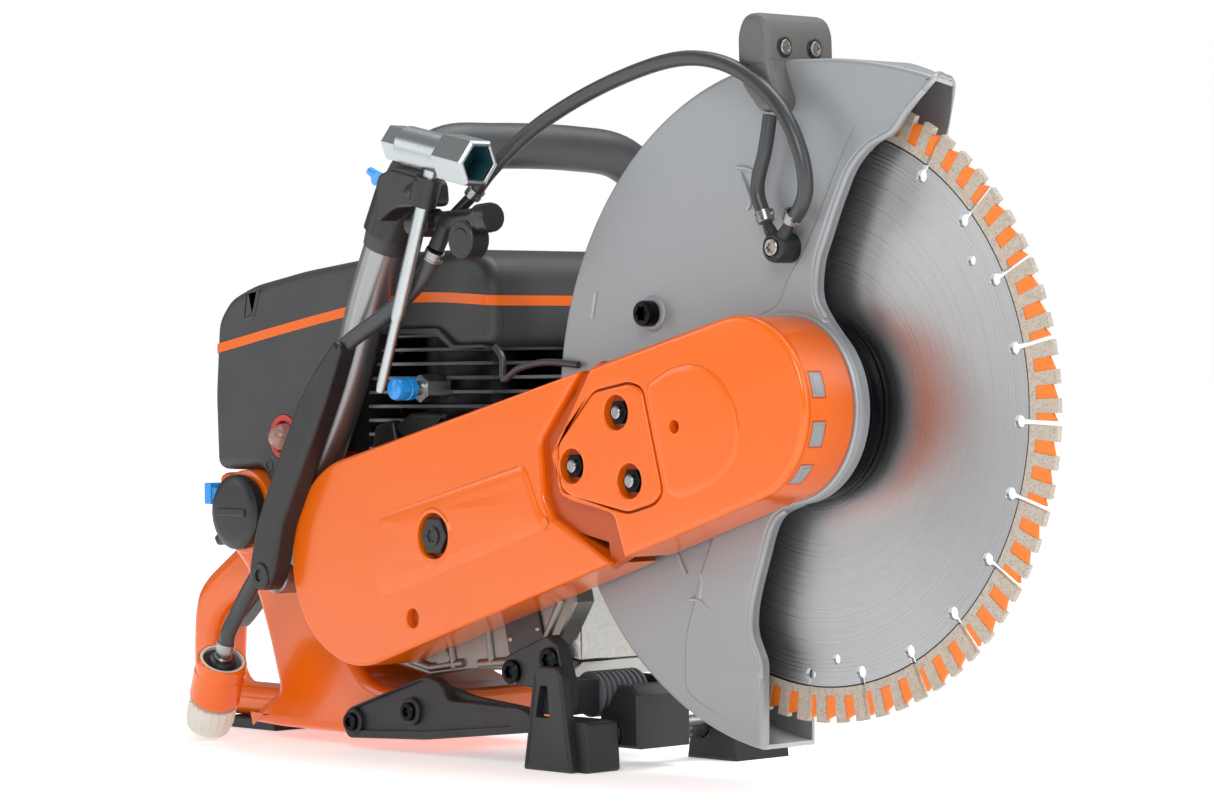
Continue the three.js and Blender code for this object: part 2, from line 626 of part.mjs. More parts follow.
const crossTube = () => rod([CROSS_TUBE.x, -11.5, CROSS_TUBE.z], [CROSS_TUBE.x, 96, CROSS_TUBE.z], CROSS_TUBE.r);
const tubeRoom = () => bar(CROSS_TUBE.x, CROSS_TUBE.z, CROSS_TUBE.r + GAP + 0.2, -20, 110);

const frontFootLeft = () =>
  cut(plate([[-205, GROUND], [-157, GROUND], [-161, -213], [-200, -213]], 76, 130, 2), tubeRoom());

const frontSupport = () =>
  cut(
    join(
      plate([[-204, -228], [-165, -228], [-165, -192], [-172, -186], [-186, -186], [-196, -200],
        [-204, -208]], -6, 43, 2),
      block(-222, -180, 36.6, 43, -206, -182),
    ),
    tubeRoom(),
  );

/** A ribbed rubber-and-spring damper between the foot bracket and the front support. */
function dampingSpring() {
  const turns = 8;
  const length = 44.4;
  const ribs = Array.from({ length: 2 * turns + 1 }, (_, i) => [
    i % 2 ? 13 : 10.5,
    -8.2 + (i * length) / (2 * turns),
  ]);
  return turned([[0, -8.2], ...ribs, [0, -8.2 + length]], -212, -193.5, 20);
}

const rearFoot = () =>
  plate([[-642, GROUND], [-572, GROUND], [-576, -234], [-638, -234]], 2, 48, 1);

// ---- assembly -----------------------------------------------------------------------------
const finish = (color, roughness, metalness) =>
  new THREE.MeshStandardMaterial({ color, roughness, metalness });
const ORANGE = finish(0xf37021, 0.28, 0);
const DARK = finish(0x46484a, 0.6, 0);
const BLACK = finish(0x1d1e20, 0.5, 0);
const GREY = finish(0xa3a5a8, 0.45, 0.2);
const STEEL = finish(0xc4c6c8, 0.35, 1);
const CHROME = finish(0xd9dcdd, 0.15, 1);
const CAST = finish(0xb4b2ae, 0.6, 0.9);
const BLUE = finish(0x1684c8, 0.35, 0);
const HOSE = finish(0x2a2b2d, 0.45, 0);
const PALE = finish(0xd8d6cf, 0.5, 0);

const CORDS = ["inlet_tail", "coupler_body", "coupler_sleeve"];
const saw = new THREE.Group();

function add(name, shape, material) {
  const mesh = shape.getMesh();
  const geometry = new THREE.BufferGeometry();
  geometry.setAttribute("position", new THREE.BufferAttribute(new Float32Array(mesh.vertProperties), 3));
  geometry.setIndex(new THREE.BufferAttribute(new Uint32Array(mesh.triVerts), 1));
  geometry.computeVertexNormals();
  const node = new THREE.Mesh(geometry, material);
  node.name = name;
  saw.add(node);
}

add("blade", blade(), STEEL);
add("inner_flange", innerFlange(), BLACK);
add("outer_flange", outerFlange(), STEEL);
add("blade_bolt", bladeBolt(), STEEL);
add("spindle_shaft", spindleShaft(), STEEL);
add("spindle_bearing", spindleBearing(), STEEL);
add("driven_pulley", drivenPulley(), CAST);
add("drive_belt", driveBelt(), BLACK);
add("clutch_drum", clutchDrum(), STEEL);
add("cutting_arm", cuttingArm(), CAST);
add("front_belt_guard", frontBeltGuard(), ORANGE);
add("rear_belt_cover", rearBeltCover(), ORANGE);
add("belt_tensioner", beltTensioner(), BLACK);
NUTS.forEach((place, i) => add(`arm_nut_${i + 1}`, armNut(place), STEEL));
add("blade_guard", bladeGuard(), GREY);
add("guard_grip", guardGrip(), DARK);
add("guard_water_fitting", guardWaterFitting(), BLACK);
add("guard_hose", guardHose(), HOSE);
add("arc_hose", arcHose(), HOSE);
add("water_valve", waterValve(), BLACK);
add("water_valve_lever", waterValveLever(), BLUE);
add("inlet_hose", inletHose(), HOSE);
add("hose_guide", hoseGuide(), DARK);
add("inlet_tail", inletTail(), HOSE);
add("coupler_body", couplerBody(), PALE);
add("coupler_sleeve", couplerSleeve(), ORANGE);
add("front_handle_tube", frontHandleTube(), STEEL);
add("handle_grip", handleGrip(), BLACK);
add("wrench_holder", wrenchHolder(), DARK);
add("combination_wrench", combinationWrench(), CHROME);
add("crankcase", crankcase(), CAST);
add("cylinder", cylinder(), BLACK);
add("crankshaft", crankshaft(), STEEL);
add("flywheel", flywheel(), CAST);
add("spark_plug", sparkPlug(), PALE);
add("decompression_valve", decompressionValve(), CHROME);
add("decompression_button", decompressionButton(), BLUE);
add("muffler", muffler(), CHROME);
add("carburettor", carburettor(), CAST);
add("air_filter", airFilter(), BLACK);
add("starter_housing", starterHousing(), DARK);
add("starter_rope", starterRope(), PALE);
add("starter_handle", starterHandle(), BLACK);
add("top_cover", topCover(), DARK);
add("primer_bulb", primerBulb(), PALE);
add("fuel_tank_handle", fuelTankHandle(), ORANGE);
add("fuel_cap", fuelCap(), DARK);
add("throttle_trigger", throttleTrigger(), ORANGE);
add("throttle_lockout", throttleLockout(), DARK);
add("choke_lever", chokeLever(), BLUE);
add("side_bracket", sideBracket(), DARK);
add("foot_bracket", footBracket(), BLACK);
add("front_foot_right", frontFootRight(), DARK);
add("front_foot_left", frontFootLeft(), BLACK);
add("rear_foot", rearFoot(), BLACK);
add("cross_tube", crossTube(), STEEL);
add("front_support", frontSupport(), DARK);
add("damping_spring", dampingSpring(), BLACK);

// The frame's origin is the middle of the footprint, at floor level, without the free hose.
const extent = new THREE.Box3();
saw.children.filter((m) => !CORDS.includes(m.name)).forEach((m) => extent.expandByObject(m));
const middle = extent.getCenter(new THREE.Vector3());
saw.position.set(-middle.x, -middle.y, -extent.min.z);

export default saw;
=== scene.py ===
"""A petrol concrete cut-off saw with a 400 mm diamond blade, standing on its three feet.

The order is that of assembly. A few names are used throughout: a shape is (points in millimetres from
the blade's middle, faces); a loop is a closed line in X and Z; levels are (inset, y) pairs along Y."""

import json
import math

import bmesh
import bpy
import numpy as np
from mathutils import Matrix, Vector
from mathutils.geometry import tessellate_polygon

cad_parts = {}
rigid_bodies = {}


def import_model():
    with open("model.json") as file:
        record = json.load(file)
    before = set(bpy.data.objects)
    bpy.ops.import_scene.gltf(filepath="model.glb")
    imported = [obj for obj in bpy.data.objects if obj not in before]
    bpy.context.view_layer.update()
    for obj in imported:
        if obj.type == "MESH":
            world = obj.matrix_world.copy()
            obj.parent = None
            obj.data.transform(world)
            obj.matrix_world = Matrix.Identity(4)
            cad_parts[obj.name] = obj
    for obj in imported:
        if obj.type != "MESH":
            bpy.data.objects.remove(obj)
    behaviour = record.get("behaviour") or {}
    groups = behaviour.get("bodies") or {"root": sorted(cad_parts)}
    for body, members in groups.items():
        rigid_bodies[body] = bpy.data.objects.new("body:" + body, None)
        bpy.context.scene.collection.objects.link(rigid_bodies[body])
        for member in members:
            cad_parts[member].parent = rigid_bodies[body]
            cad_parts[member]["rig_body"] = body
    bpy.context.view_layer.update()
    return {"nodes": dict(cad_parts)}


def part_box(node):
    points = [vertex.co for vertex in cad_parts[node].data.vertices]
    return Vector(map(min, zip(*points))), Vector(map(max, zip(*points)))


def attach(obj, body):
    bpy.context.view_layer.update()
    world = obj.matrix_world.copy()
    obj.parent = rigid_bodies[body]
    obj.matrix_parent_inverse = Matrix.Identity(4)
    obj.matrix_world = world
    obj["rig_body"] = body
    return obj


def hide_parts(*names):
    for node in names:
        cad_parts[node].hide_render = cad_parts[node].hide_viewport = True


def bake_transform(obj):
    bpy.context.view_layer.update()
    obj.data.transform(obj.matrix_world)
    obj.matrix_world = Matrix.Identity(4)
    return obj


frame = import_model()


# ---- camera -------------------------------------------------------------------------------
# The saw is seen from its front right, at the height of the blade's hub, through a long lens.
# Sizes in this file are millimetres from the middle of the blade, as the saw's own drawing has them.
blade_low, blade_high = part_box("blade")
HUB = np.array((blade_low + blade_high) / 2)


def at(points):
    """Millimetres from the blade's middle to metres in the frame: hub + points / 1000."""
    return HUB + np.asarray(points, float) / 1000


camera_data = bpy.data.cameras.new("camera")
camera_data.lens = 111.4
camera_data.sensor_width = 36
camera_data.clip_end = 60
camera = bpy.data.objects.new("camera", camera_data)
right = Vector((0.67678293, 0.73609709, -0.01122251))
up = Vector((0.00090572, 0.01441164, 0.99989574))
back = Vector((0.73618207, -0.67672253, 0.00908686))
camera.matrix_world = Matrix((right, up, back)).transposed().to_4x4()
camera.location = Vector(at((1664.365, -1712.660, 25.145)))
bpy.context.scene.collection.objects.link(camera)
bpy.context.scene.camera = camera


# ---- studio -------------------------------------------------------------------------------
# A white sweep and soft light: a broad sun from above for even shade, and softboxes that give
# the gloss plastic its long highlights and the blade its fan.
bpy.context.scene.view_settings.view_transform = "Standard"


def linear(code, alpha=1.0):
    """An sRGB hex value as linear RGBA: ((c + 0.055) / 1.055) ** 2.4, or c / 12.92 when dark."""
    rgb = [int(code[i : i + 2], 16) / 255 for i in (1, 3, 5)]
    return [c / 12.92 if c <= 0.04045 else ((c + 0.055) / 1.055) ** 2.4 for c in rgb] + [alpha]


def fill(tree, made, inputs):
    """Sets a node's inputs, or links those that come from another node."""
    for key, value in dict(inputs).items():
        if isinstance(value, bpy.types.NodeSocket):
            tree.links.new(value, made.inputs[key])
        else:
            made.inputs[key].default_value = value
    return made


def node(tree, kind, inputs=(), **settings):
    """Adds a node, sets its properties, and fills its inputs."""
    made = tree.nodes.new(kind)
    for key, value in settings.items():
        setattr(made, key, value)
    return fill(tree, made, inputs)


def ranged(tree, value, start, end, low, high):
    """A value carried from start...end to low...high: low + (high - low) * (value - start) / (end - start)."""
    inputs = {"Value": value, "From Min": start, "From Max": end, "To Min": low, "To Max": high}
    return node(tree, "ShaderNodeMapRange", inputs).outputs[0]


def shader(name):
    """A new material with an empty tree: the material, its tree and its Principled node."""
    material = bpy.data.materials.new(name)
    material.use_nodes = True
    tree = material.node_tree
    tree.nodes.clear()
    surface = node(tree, "ShaderNodeBsdfPrincipled")
    node(tree, "ShaderNodeOutputMaterial", {"Surface": surface.outputs["BSDF"]})
    return material, tree, surface


world = bpy.data.worlds.new("studio")
world.use_nodes = True
sky = world.node_tree
sky.nodes.clear()
seen = node(sky, "ShaderNodeLightPath").outputs["Is Camera Ray"]
height = node(sky, "ShaderNodeSeparateXYZ", {0: node(sky, "ShaderNodeTexCoord").outputs["Generated"]})
shade = ranged(sky, height.outputs["Z"], -0.2, 0.9, 0.15, 0.4)
strength = node(sky, "ShaderNodeMix", {0: seen, 2: shade, 3: 1.0})
light = node(sky, "ShaderNodeBackground", {"Color": (1, 1, 1, 1), "Strength": strength.outputs[0]})
node(sky, "ShaderNodeOutputWorld", {"Surface": light.outputs[0]})
bpy.context.scene.world = world

sun_data = bpy.data.lights.new("overhead", "SUN")
sun_data.energy = 1.5
sun_data.angle = math.radians(45)
sun = bpy.data.objects.new("overhead", sun_data)
sun.rotation_euler = (math.radians(-22), math.radians(16), 0)
bpy.context.scene.collection.objects.link(sun)

SOFTBOXES = [  # place, aim, width and height in metres, power in watts
    ((1.6, -1.9, 1.5), (0.0, 0.0, 0.25), (1.0, 1.2), 30),
    ((-1.9, -1.6, 1.0), (-0.1, 0.0, 0.2), (0.8, 1.2), 7),
    ((-0.9, -2.5, 0.3), (0.3, 0.0, 0.25), (0.8, 0.5), 2.5),
    ((2.4, 0.5, 1.0), (0.2, 0.0, 0.25), (0.5, 1.6), 15),
    ((-0.3, 0.4, 2.4), (0.0, 0.0, 0.2), (1.6, 1.0), 20),
]
for place, aim, (wide, tall), watts in SOFTBOXES:
    data = bpy.data.lights.new("softbox", "AREA")
    data.shape, data.size, data.size_y, data.energy = "RECTANGLE", wide, tall, watts
    box = bpy.data.objects.new("softbox", data)
    box.location = place
    box.rotation_euler = (Vector(aim) - Vector(place)).to_track_quat("-Z", "Y").to_euler()
    bpy.context.scene.collection.objects.link(box)

floor_mesh = bpy.data.meshes.new("floor")
floor_mesh.from_pydata([(-30, -30, 0), (30, -30, 0), (30, 30, 0), (-30, 30, 0)], [], [(0, 1, 2, 3)])
floor = bpy.data.objects.new("floor", floor_mesh)
bpy.context.scene.collection.objects.link(floor)
paper, tree, surface = shader("white_paper")
glow = {"Emission Color": (1, 1, 1, 1), "Emission Strength": 0.42}
fill(tree, surface, {"Base Color": linear("#FBFBFA"), "Roughness": 0.55, **glow})
floor_mesh.materials.append(paper)


# ---- free end of the inlet hose -----------------------------------------------------------
# Black rubber hose, 11.6 mm across, that hangs from its guide to the quick coupler.
def smooth_path(points, count):
    """A centripetal Catmull-Rom line through the points, at count even steps of its length."""
    p = np.asarray(points, float)
    t = np.concatenate([[0], np.cumsum(np.linalg.norm(np.diff(p, axis=0), axis=1) ** 0.5)])
    slope = np.diff(p, axis=0) / np.diff(t)[:, None]
    inner = (p[2:] - p[:-2]) / (t[2:] - t[:-2])[:, None]
    tangent = np.vstack([slope[:1], slope[:-1] - inner + slope[1:], slope[-1:]])
    u = np.linspace(0, 1, 24, endpoint=False)[None, :, None]
    gap = np.diff(t)[:, None, None]
    a, b = p[:-1, None], p[1:, None]
    ta, tb = tangent[:-1, None] * gap, tangent[1:, None] * gap
    dense = (
        (2 * u**3 - 3 * u**2 + 1) * a
        + (u**3 - 2 * u**2 + u) * ta
        + (3 * u**2 - 2 * u**3) * b
        + (u**3 - u**2) * tb
    )
    dense = np.vstack([dense.reshape(-1, p.shape[1]), p[-1:]])
    reach = np.concatenate([[0], np.cumsum(np.linalg.norm(np.diff(dense, axis=0), axis=1))])
    even = np.linspace(0, reach[-1], count)
    return np.stack([np.interp(even, reach, dense[:, k]) for k in range(p.shape[1])], 1)


def skin(rows, cols, closed_rows=False, start=0):
    """The quads of rows by cols points, numbered row by row; each row closes on itself."""
    r = np.arange(rows if closed_rows else rows - 1)[:, None]
    c = np.arange(cols)[None, :]
    nxt, side = (r + 1) % rows, (c + 1) % cols
    quads = np.stack([r * cols + c, r * cols + side, nxt * cols + side, nxt * cols + c], -1)
    return (quads.reshape(-1, 4) + start).tolist()


def sweep(path, radius, sides=20):
    """Circles carried along a path: centre + radius * (side cos a + over sin a), closed at both ends.
    The side and over directions are carried along the path without twist."""
    path = np.asarray(path, float)
    radius = np.broadcast_to(radius, len(path)).astype(float)
    ahead = np.gradient(path, axis=0)
    ahead /= np.linalg.norm(ahead, axis=1)[:, None]
    side = np.cross(ahead[0], (0.31, 0.17, 0.94))
    sides_of = []
    for direction in ahead:
        side = side - direction * side.dot(direction)
        side /= np.linalg.norm(side)
        sides_of.append(side)
    side = np.array(sides_of)
    over = np.cross(ahead, side)
    a = np.linspace(0, 2 * np.pi, sides, endpoint=False)[None, :, None]
    rings = path[:, None] + radius[:, None, None] * (side[:, None] * np.cos(a) + over[:, None] * np.sin(a))
    count = len(path) * sides
    faces = skin(len(path), sides) + [list(range(sides)), list(range(count - sides, count))]
    return rings.reshape(-1, 3), faces


def joined(*shapes):
    """Several (points, faces) shapes as one."""
    points, faces, start = [], [], 0
    for more, quads in shapes:
        points.append(np.asarray(more, float))
        faces += [[i + start for i in face] for face in quads]
        start += len(more)
    return np.vstack(points), faces


def piece(name, shape, material, body, stands_for=(), crease=32, bevel=0.0):
    """A shape made a mesh: doubles merged, faces turned outwards, edges over crease degrees sharp and
    rounded by bevel millimetres. It rides on one body when body is a name; a (first, second, start, end)
    body leaves it unattached with its place baked in. It is shown instead of the CAD nodes that it stands for."""
    points, faces = shape
    mesh = bpy.data.meshes.new(name)
    mesh.from_pydata(at(points).tolist(), [], faces)
    work = bmesh.new()
    work.from_mesh(mesh)
    bmesh.ops.remove_doubles(work, verts=work.verts, dist=1e-6)
    bmesh.ops.recalc_face_normals(work, faces=work.faces)
    work.to_mesh(mesh)
    work.free()
    mesh.materials.append(material)
    mesh.shade_smooth()
    mesh.set_sharp_from_angle(angle=math.radians(crease))
    made = bpy.data.objects.new(name, mesh)
    bpy.context.scene.collection.objects.link(made)
    if bevel:
        edge = made.modifiers.new("edge", "BEVEL")
        edge.width, edge.segments, edge.limit_method = bevel / 1000, 3, "ANGLE"
        edge.angle_limit = math.radians(crease)
    made.modifiers.new("even_shading", "WEIGHTED_NORMAL").keep_sharp = True
    if isinstance(body, str):
        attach(made, body)
    else:
        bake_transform(made)
    if stands_for:
        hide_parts(*([stands_for] if isinstance(stands_for, str) else stands_for))
    return made


def place_of(tree):
    """The point on the object, in metres, that every pattern is laid out on."""
    return node(tree, "ShaderNodeTexCoord").outputs["Object"]


def noise(tree, scale, detail, place=None, distortion=0.0):
    """Cloudy noise with this many waves to a metre."""
    where = place_of(tree) if place is None else place
    inputs = {"Vector": where, "Scale": scale, "Detail": detail, "Distortion": distortion}
    return node(tree, "ShaderNodeTexNoise", inputs).outputs["Fac"]


def mixed(tree, share, low, high):
    """Two colours mixed: low + (high - low) * share."""
    return node(tree, "ShaderNodeMix", {0: share, 6: low, 7: high}, data_type="RGBA").outputs[2]


def dimmed(code, share):
    """A hex colour made darker: linear rgb * share."""
    return [c * share for c in linear(code)[:3]] + [1]


def dressed(parts, colour, roughness, height, depth, strength, **inputs):
    """Gives a shader() its colour, roughness and a bump depth millimetres deep.
    Other inputs are named with a low line for each space, as in Coat_Weight."""
    material, tree, surface = parts
    bump = node(tree, "ShaderNodeBump", {"Height": height, "Distance": depth / 1000, "Strength": strength})
    inputs = {key.replace("_", " "): value for key, value in inputs.items()}
    fill(tree, surface, {"Base Color": colour, "Roughness": roughness, "Normal": bump.outputs[0], **inputs})
    return material


def rubber(name, code, roughness, grain_mm, depth):
    """Extruded or moulded rubber: near black, soft sheen, a fine matt grain and dusty patches."""
    parts = shader(name)
    tree = parts[1]
    dust = noise(tree, 22.0, 5.0)
    dusty = [min(1, c * 1.7 + 0.004) for c in linear(code)[:3]] + [1]
    rough = ranged(tree, dust, 0, 1, roughness - 0.08, roughness + 0.12)
    grain = noise(tree, 1000 / grain_mm, 2.0)
    return dressed(parts, mixed(tree, dust, linear(code), dusty), rough, grain, depth, 0.6, IOR=1.52)


HOSE_R = 5.8
COUPLER_TOP = np.array([-526.0, -80.0, -181.0])
COUPLER_AXIS = np.array([0.527, -0.167, 0.833])
COUPLER_AXIS /= np.linalg.norm(COUPLER_AXIS)
TAIL_ROUTE = [
    [-467.8, -80, -101.3], [-474.5, -80, -110.5], [-484, -80, -120], [-496, -80, -133],
    [-506, -81, -147], COUPLER_TOP + 24 * COUPLER_AXIS, COUPLER_TOP + 14.8 * COUPLER_AXIS,
]
hose_rubber = rubber("extruded_epdm_hose", "#2B2D2F", 0.34, 1.2, 0.05)
tail_path = smooth_path(TAIL_ROUTE, 40)
inlet_tail = piece("inlet_tail_hose", sweep(tail_path, HOSE_R), hose_rubber, "machine", "inlet_tail")


# ---- quick coupler ------------------------------------------------------------------------
# A garden-hose coupler: orange sprung sleeve over a pale moulded body, with a plated nipple
# and a crimped ferrule where the hose goes in.
def lathe(profile, centre, axis=(0, 1, 0), sides=48, lobes=None):
    """A (radius, distance) profile turned about an axis: centre + axis * d + r(a) * (u cos a + v sin a).
    lobes gives each profile point a (count, share) wave, r(a) = r * (1 + share * cos(count a))."""
    axis = np.asarray(axis, float) / np.linalg.norm(axis)
    u = np.cross(axis, (0, 0, 1) if abs(axis[2]) < 0.9 else (1, 0, 0))
    u /= np.linalg.norm(u)
    v = np.cross(axis, u)
    radius, along = np.asarray(profile, float).T
    a = np.linspace(0, 2 * np.pi, sides, endpoint=False)
    wave = np.zeros((len(radius), sides))
    for row, (count, share) in (lobes or {}).items():
        wave[row] = share * np.cos(count * a)
    r = (radius[:, None] * (1 + wave))[..., None]
    turn = u * np.cos(a)[:, None] + v * np.sin(a)[:, None]
    rings = np.asarray(centre, float) + axis * along[:, None, None] + r * turn
    closed = radius[0] > 1e-9 and radius[-1] > 1e-9
    return rings.reshape(-1, 3), skin(len(radius), sides, closed_rows=closed)


def moulded(name, code, roughness, grain_mm, depth, mottle=0.12, coat=0.0, ior=1.5):
    """Injection-moulded nylon or ABS: even colour with a faint flow mottle, and the mould's fine
    spark-eroded or polished texture in roughness and bump."""
    parts = shader(name)
    tree = parts[1]
    flow = mixed(tree, noise(tree, 9.0, 4.0, distortion=0.4), dimmed(code, 1 - mottle), linear(code))
    rough = ranged(tree, noise(tree, 34.0, 6.0), 0.3, 0.7, roughness * 0.85, roughness * 1.15)
    grain = noise(tree, 1000 / grain_mm, 3.0)
    return dressed(parts, flow, rough, grain, depth, 0.5, IOR=ior, Coat_Weight=coat, Coat_Roughness=0.08)


def metal(name, code, roughness, grain=(220, 220, 220), depth=0.02, spread=0.1, stain=0.25):
    """Bare or plated metal: a directional grain from noise stretched along one axis, set by
    grain's three scales per metre, and slightly uneven tarnish."""
    parts = shader(name)
    tree = parts[1]
    stretch = node(tree, "ShaderNodeMapping", {"Vector": place_of(tree), "Scale": grain}).outputs[0]
    lines = noise(tree, 4.0, 4.0, stretch)
    tarnish = mixed(tree, noise(tree, 26.0, 6.0), dimmed(code, 1 - stain), linear(code))
    rough = ranged(tree, lines, 0.25, 0.75, max(0.02, roughness - spread), roughness + spread)
    return dressed(parts, tarnish, rough, lines, depth, 0.5, Metallic=1.0)


orange = moulded("gloss_orange_nylon", "#E76502", 0.22, 1.6, 0.012, mottle=0.07, coat=0.2)
black_nylon = moulded("satin_black_nylon", "#1E1F21", 0.38, 0.9, 0.05)
white_nylon = moulded("chalky_white_nylon", "#D9D6CC", 0.6, 1.1, 0.08, mottle=0.1)
plated = metal("bright_zinc_plate", "#A9ABAB", 0.26, (300, 300, 60))

top, axis = COUPLER_TOP, COUPLER_AXIS
nozzle = [(0, -7), (13.2, -7), (13.2, -20), (13.2, -36), (16.6, -38), (17.2, -40), (17.2, -52), (16.4, -56),
          (15.6, -60), (10.2, -60.4), (9.2, -59), (8.6, -46), (0, -45)]
across = np.cross(axis, (0, 1, 0))
over = np.cross(axis, across)
outwards = [16.9 * (across * math.cos(a) + over * math.sin(a)) for a in np.linspace(0, 2 * np.pi, 20, endpoint=False)]
ribs = [sweep([top - 38.5 * axis + out, top - 54 * axis + out], 0.9, 8) for out in outwards]
coupler_body = piece(
    "coupler_nozzle", joined(lathe(nozzle, top, axis), *ribs), white_nylon, "machine", "coupler_body"
)
fittings = [
    piece(name, lathe(profile, top, axis), material, "machine")
    for name, material, profile in (
        ("coupler_ring", white_nylon, [(14.6, 0.6), (16.4, 0.6), (16.9, -0.4), (16.6, -2), (14.2, -2)]),
        ("coupler_core", black_nylon,
         [(0, -8), (13.2, -8), (14, -3), (13.6, -1.2), (10.5, -1.8), (9, 1.2), (7, 1.6), (0, 1.6)]),
        ("coupler_nipple", plated,
         [(0, 0), (6.4, 0), (6.8, 3), (5.4, 4), (5.4, 7), (6.6, 8), (6.7, 15), (6.2, 16), (0, 16)]),
    )
]
sleeve_profile = [
    (14.2, -34.6), (17.4, -34.6), (18.6, -33), (18.7, -12), (18.0, -10.5), (18.0, -8.5), (18.6, -7), (18.3, -1.2),
    (17.4, 0.6), (16.8, 0.6), (16.5, -1), (14.2, -3), (14.2, -20),
]
coupler_sleeve = piece("coupler_grip_sleeve", lathe(sleeve_profile, top, axis), orange, "coupler_sleeve",
                       "coupler_sleeve")


# ---- blade core ---------------------------------------------------------------------------
# A rolled and ground steel disc, 400 mm over its segments, with a keyhole slot between each two
# segments. The grinding leaves fine circles, which draw the reflections out into a fan.
BLADE_R, ROOT_R, SEGMENTS, SLOT, KEYHOLE_R, KEYHOLE = 200.0, 178.0, 24, 3.0, 169.8, 4.0
FIRST_SLOT = math.radians(-2.8)
PITCH = 2 * math.pi / SEGMENTS


def circle(x, z, r, count):
    """Points on a circle in the XZ plane."""
    a = np.linspace(0, 2 * np.pi, count, endpoint=False)
    return np.stack([x + r * np.cos(a), z + r * np.sin(a)], 1)


def arc(x, z, r, start, end, count):
    """Points on part of a circle, from start to end in degrees."""
    a = np.radians(np.linspace(start, end, count))
    return np.stack([x + r * np.cos(a), z + r * np.sin(a)], 1)


def facing(loop, inwards=False):
    """The loop turned anticlockwise, or clockwise for a hole."""
    x, z = loop.T
    area = np.sum(x * np.roll(z, -1) - np.roll(x, -1) * z)
    return loop[::-1] if (area < 0) != inwards else loop


def inset(loop, distance, weights=1.0):
    """Each point moved along the mean of its two edges' inward normals, by distance * weight."""
    ahead = np.roll(loop, -1, 0) - loop
    ahead /= np.maximum(np.linalg.norm(ahead, axis=1), 1e-9)[:, None]
    normal = np.stack([-ahead[:, 1], ahead[:, 0]], 1)
    both = normal + np.roll(normal, 1, 0)
    both /= np.maximum((both**2).sum(1), 0.7)[:, None] / 2
    return loop + both * (distance * np.broadcast_to(weights, len(loop)))[:, None]


def slab(outline, levels, holes=(), weights=1.0):
    """An XZ outline carried along Y: at each (inset, y) level the outline is drawn in by inset.
    The first and last levels are capped. Each hole is a (loop, levels) of its own."""
    shapes, caps = [], ([], [])
    loops = [(facing(np.asarray(outline, float)), levels, weights)]
    loops += [(facing(np.asarray(loop, float), True), own, 1.0) for loop, own in holes]
    for loop, own, share in loops:
        rings = [np.insert(inset(loop, d, share), 1, y, axis=1) for d, y in own]
        shapes.append((np.vstack(rings), skin(len(own), len(loop))))
        caps[0].append(rings[0])
        caps[1].append(rings[-1])
    for rings in caps:
        flat = tessellate_polygon([[Vector((x, z, 0)) for x, _, z in ring] for ring in rings])
        shapes.append((np.vstack(rings), [list(t) for t in flat]))
    return joined(*shapes)


def rounded_levels(y0, y1, r0, r1=None, steps=6):
    """Levels of a slab whose two rims are rounded off with these radii, as quarter circles."""
    r1 = r0 if r1 is None else r1
    a = np.linspace(0, np.pi / 2, steps)
    near = np.stack([r0 * (1 - np.sin(a)), y0 + r0 * (1 - np.cos(a))], 1)
    far = np.stack([r1 * (1 - np.cos(a)), y1 - r1 * (1 - np.sin(a))], 1)
    return [tuple(level) for level in np.vstack([near, far])]


def core_outline():
    """The rim at the segments' root, cut by a keyhole slot at every pitch."""
    points = []
    for k in range(SEGMENTS):
        middle = FIRST_SLOT + k * PITCH
        half = SLOT / 2
        turn = np.array([[math.cos(middle), math.sin(middle)], [-math.sin(middle), math.cos(middle)]])
        a = np.radians(np.linspace(-22, -338, 13))
        keyhole = np.stack([KEYHOLE_R + KEYHOLE * np.cos(a), KEYHOLE * np.sin(a)], 1)
        slot = np.vstack([[[ROOT_R, -half]], keyhole, [[ROOT_R, half]]])
        points.append(slot @ turn)
        edge = math.degrees(middle) + math.degrees(half / ROOT_R)
        points.append(arc(0, 0, ROOT_R, edge + 1, edge + math.degrees(PITCH) - 2, 8))
    return np.vstack(points)


def circled_steel(name, code, roughness, ring_per_metre, dark_ring):
    """Steel ground on a turning table: the tangent runs round the hub, tangent = Y x (P - hub),
    and noise over the radius makes rings of finer and coarser grind. The dark ring is the weld."""
    parts = shader(name)
    tree = parts[1]

    def vector(operation, *values):
        return node(tree, "ShaderNodeVectorMath", dict(enumerate(values)), operation=operation)

    def maths(operation, *values):
        return node(tree, "ShaderNodeMath", dict(enumerate(values)), operation=operation).outputs[0]

    arm = vector("SUBTRACT", place_of(tree), tuple(HUB)).outputs[0]
    flat = vector("MULTIPLY", arm, (1, 0, 1)).outputs[0]
    radius = vector("LENGTH", flat).outputs["Value"]
    unit = vector("NORMALIZE", vector("CROSS_PRODUCT", (0, 1, 0), flat).outputs[0]).outputs[0]
    turn = {"vector_type": "VECTOR", "convert_from": "OBJECT", "convert_to": "WORLD"}
    tangent = node(tree, "ShaderNodeVectorTransform", {0: unit}, **turn).outputs[0]
    grind = {"W": radius, "Scale": ring_per_metre, "Detail": 6.0}
    rings = node(tree, "ShaderNodeTexNoise", grind, noise_dimensions="1D").outputs["Fac"]
    steel = mixed(tree, noise(tree, 14.0, 5.0), dimmed(code, 0.86), linear(code))
    low, high = dark_ring
    welded = maths("MULTIPLY", maths("GREATER_THAN", radius, low / 1000), maths("LESS_THAN", radius, high / 1000))
    colour = mixed(tree, welded, steel, linear("#3A3B3D"))
    rough = ranged(tree, rings, 0.3, 0.7, roughness - 0.1, roughness + 0.12)
    return dressed(parts, colour, rough, rings, 0.05, 0.6, Metallic=1.0, Anisotropic=0.7, Tangent=tangent)


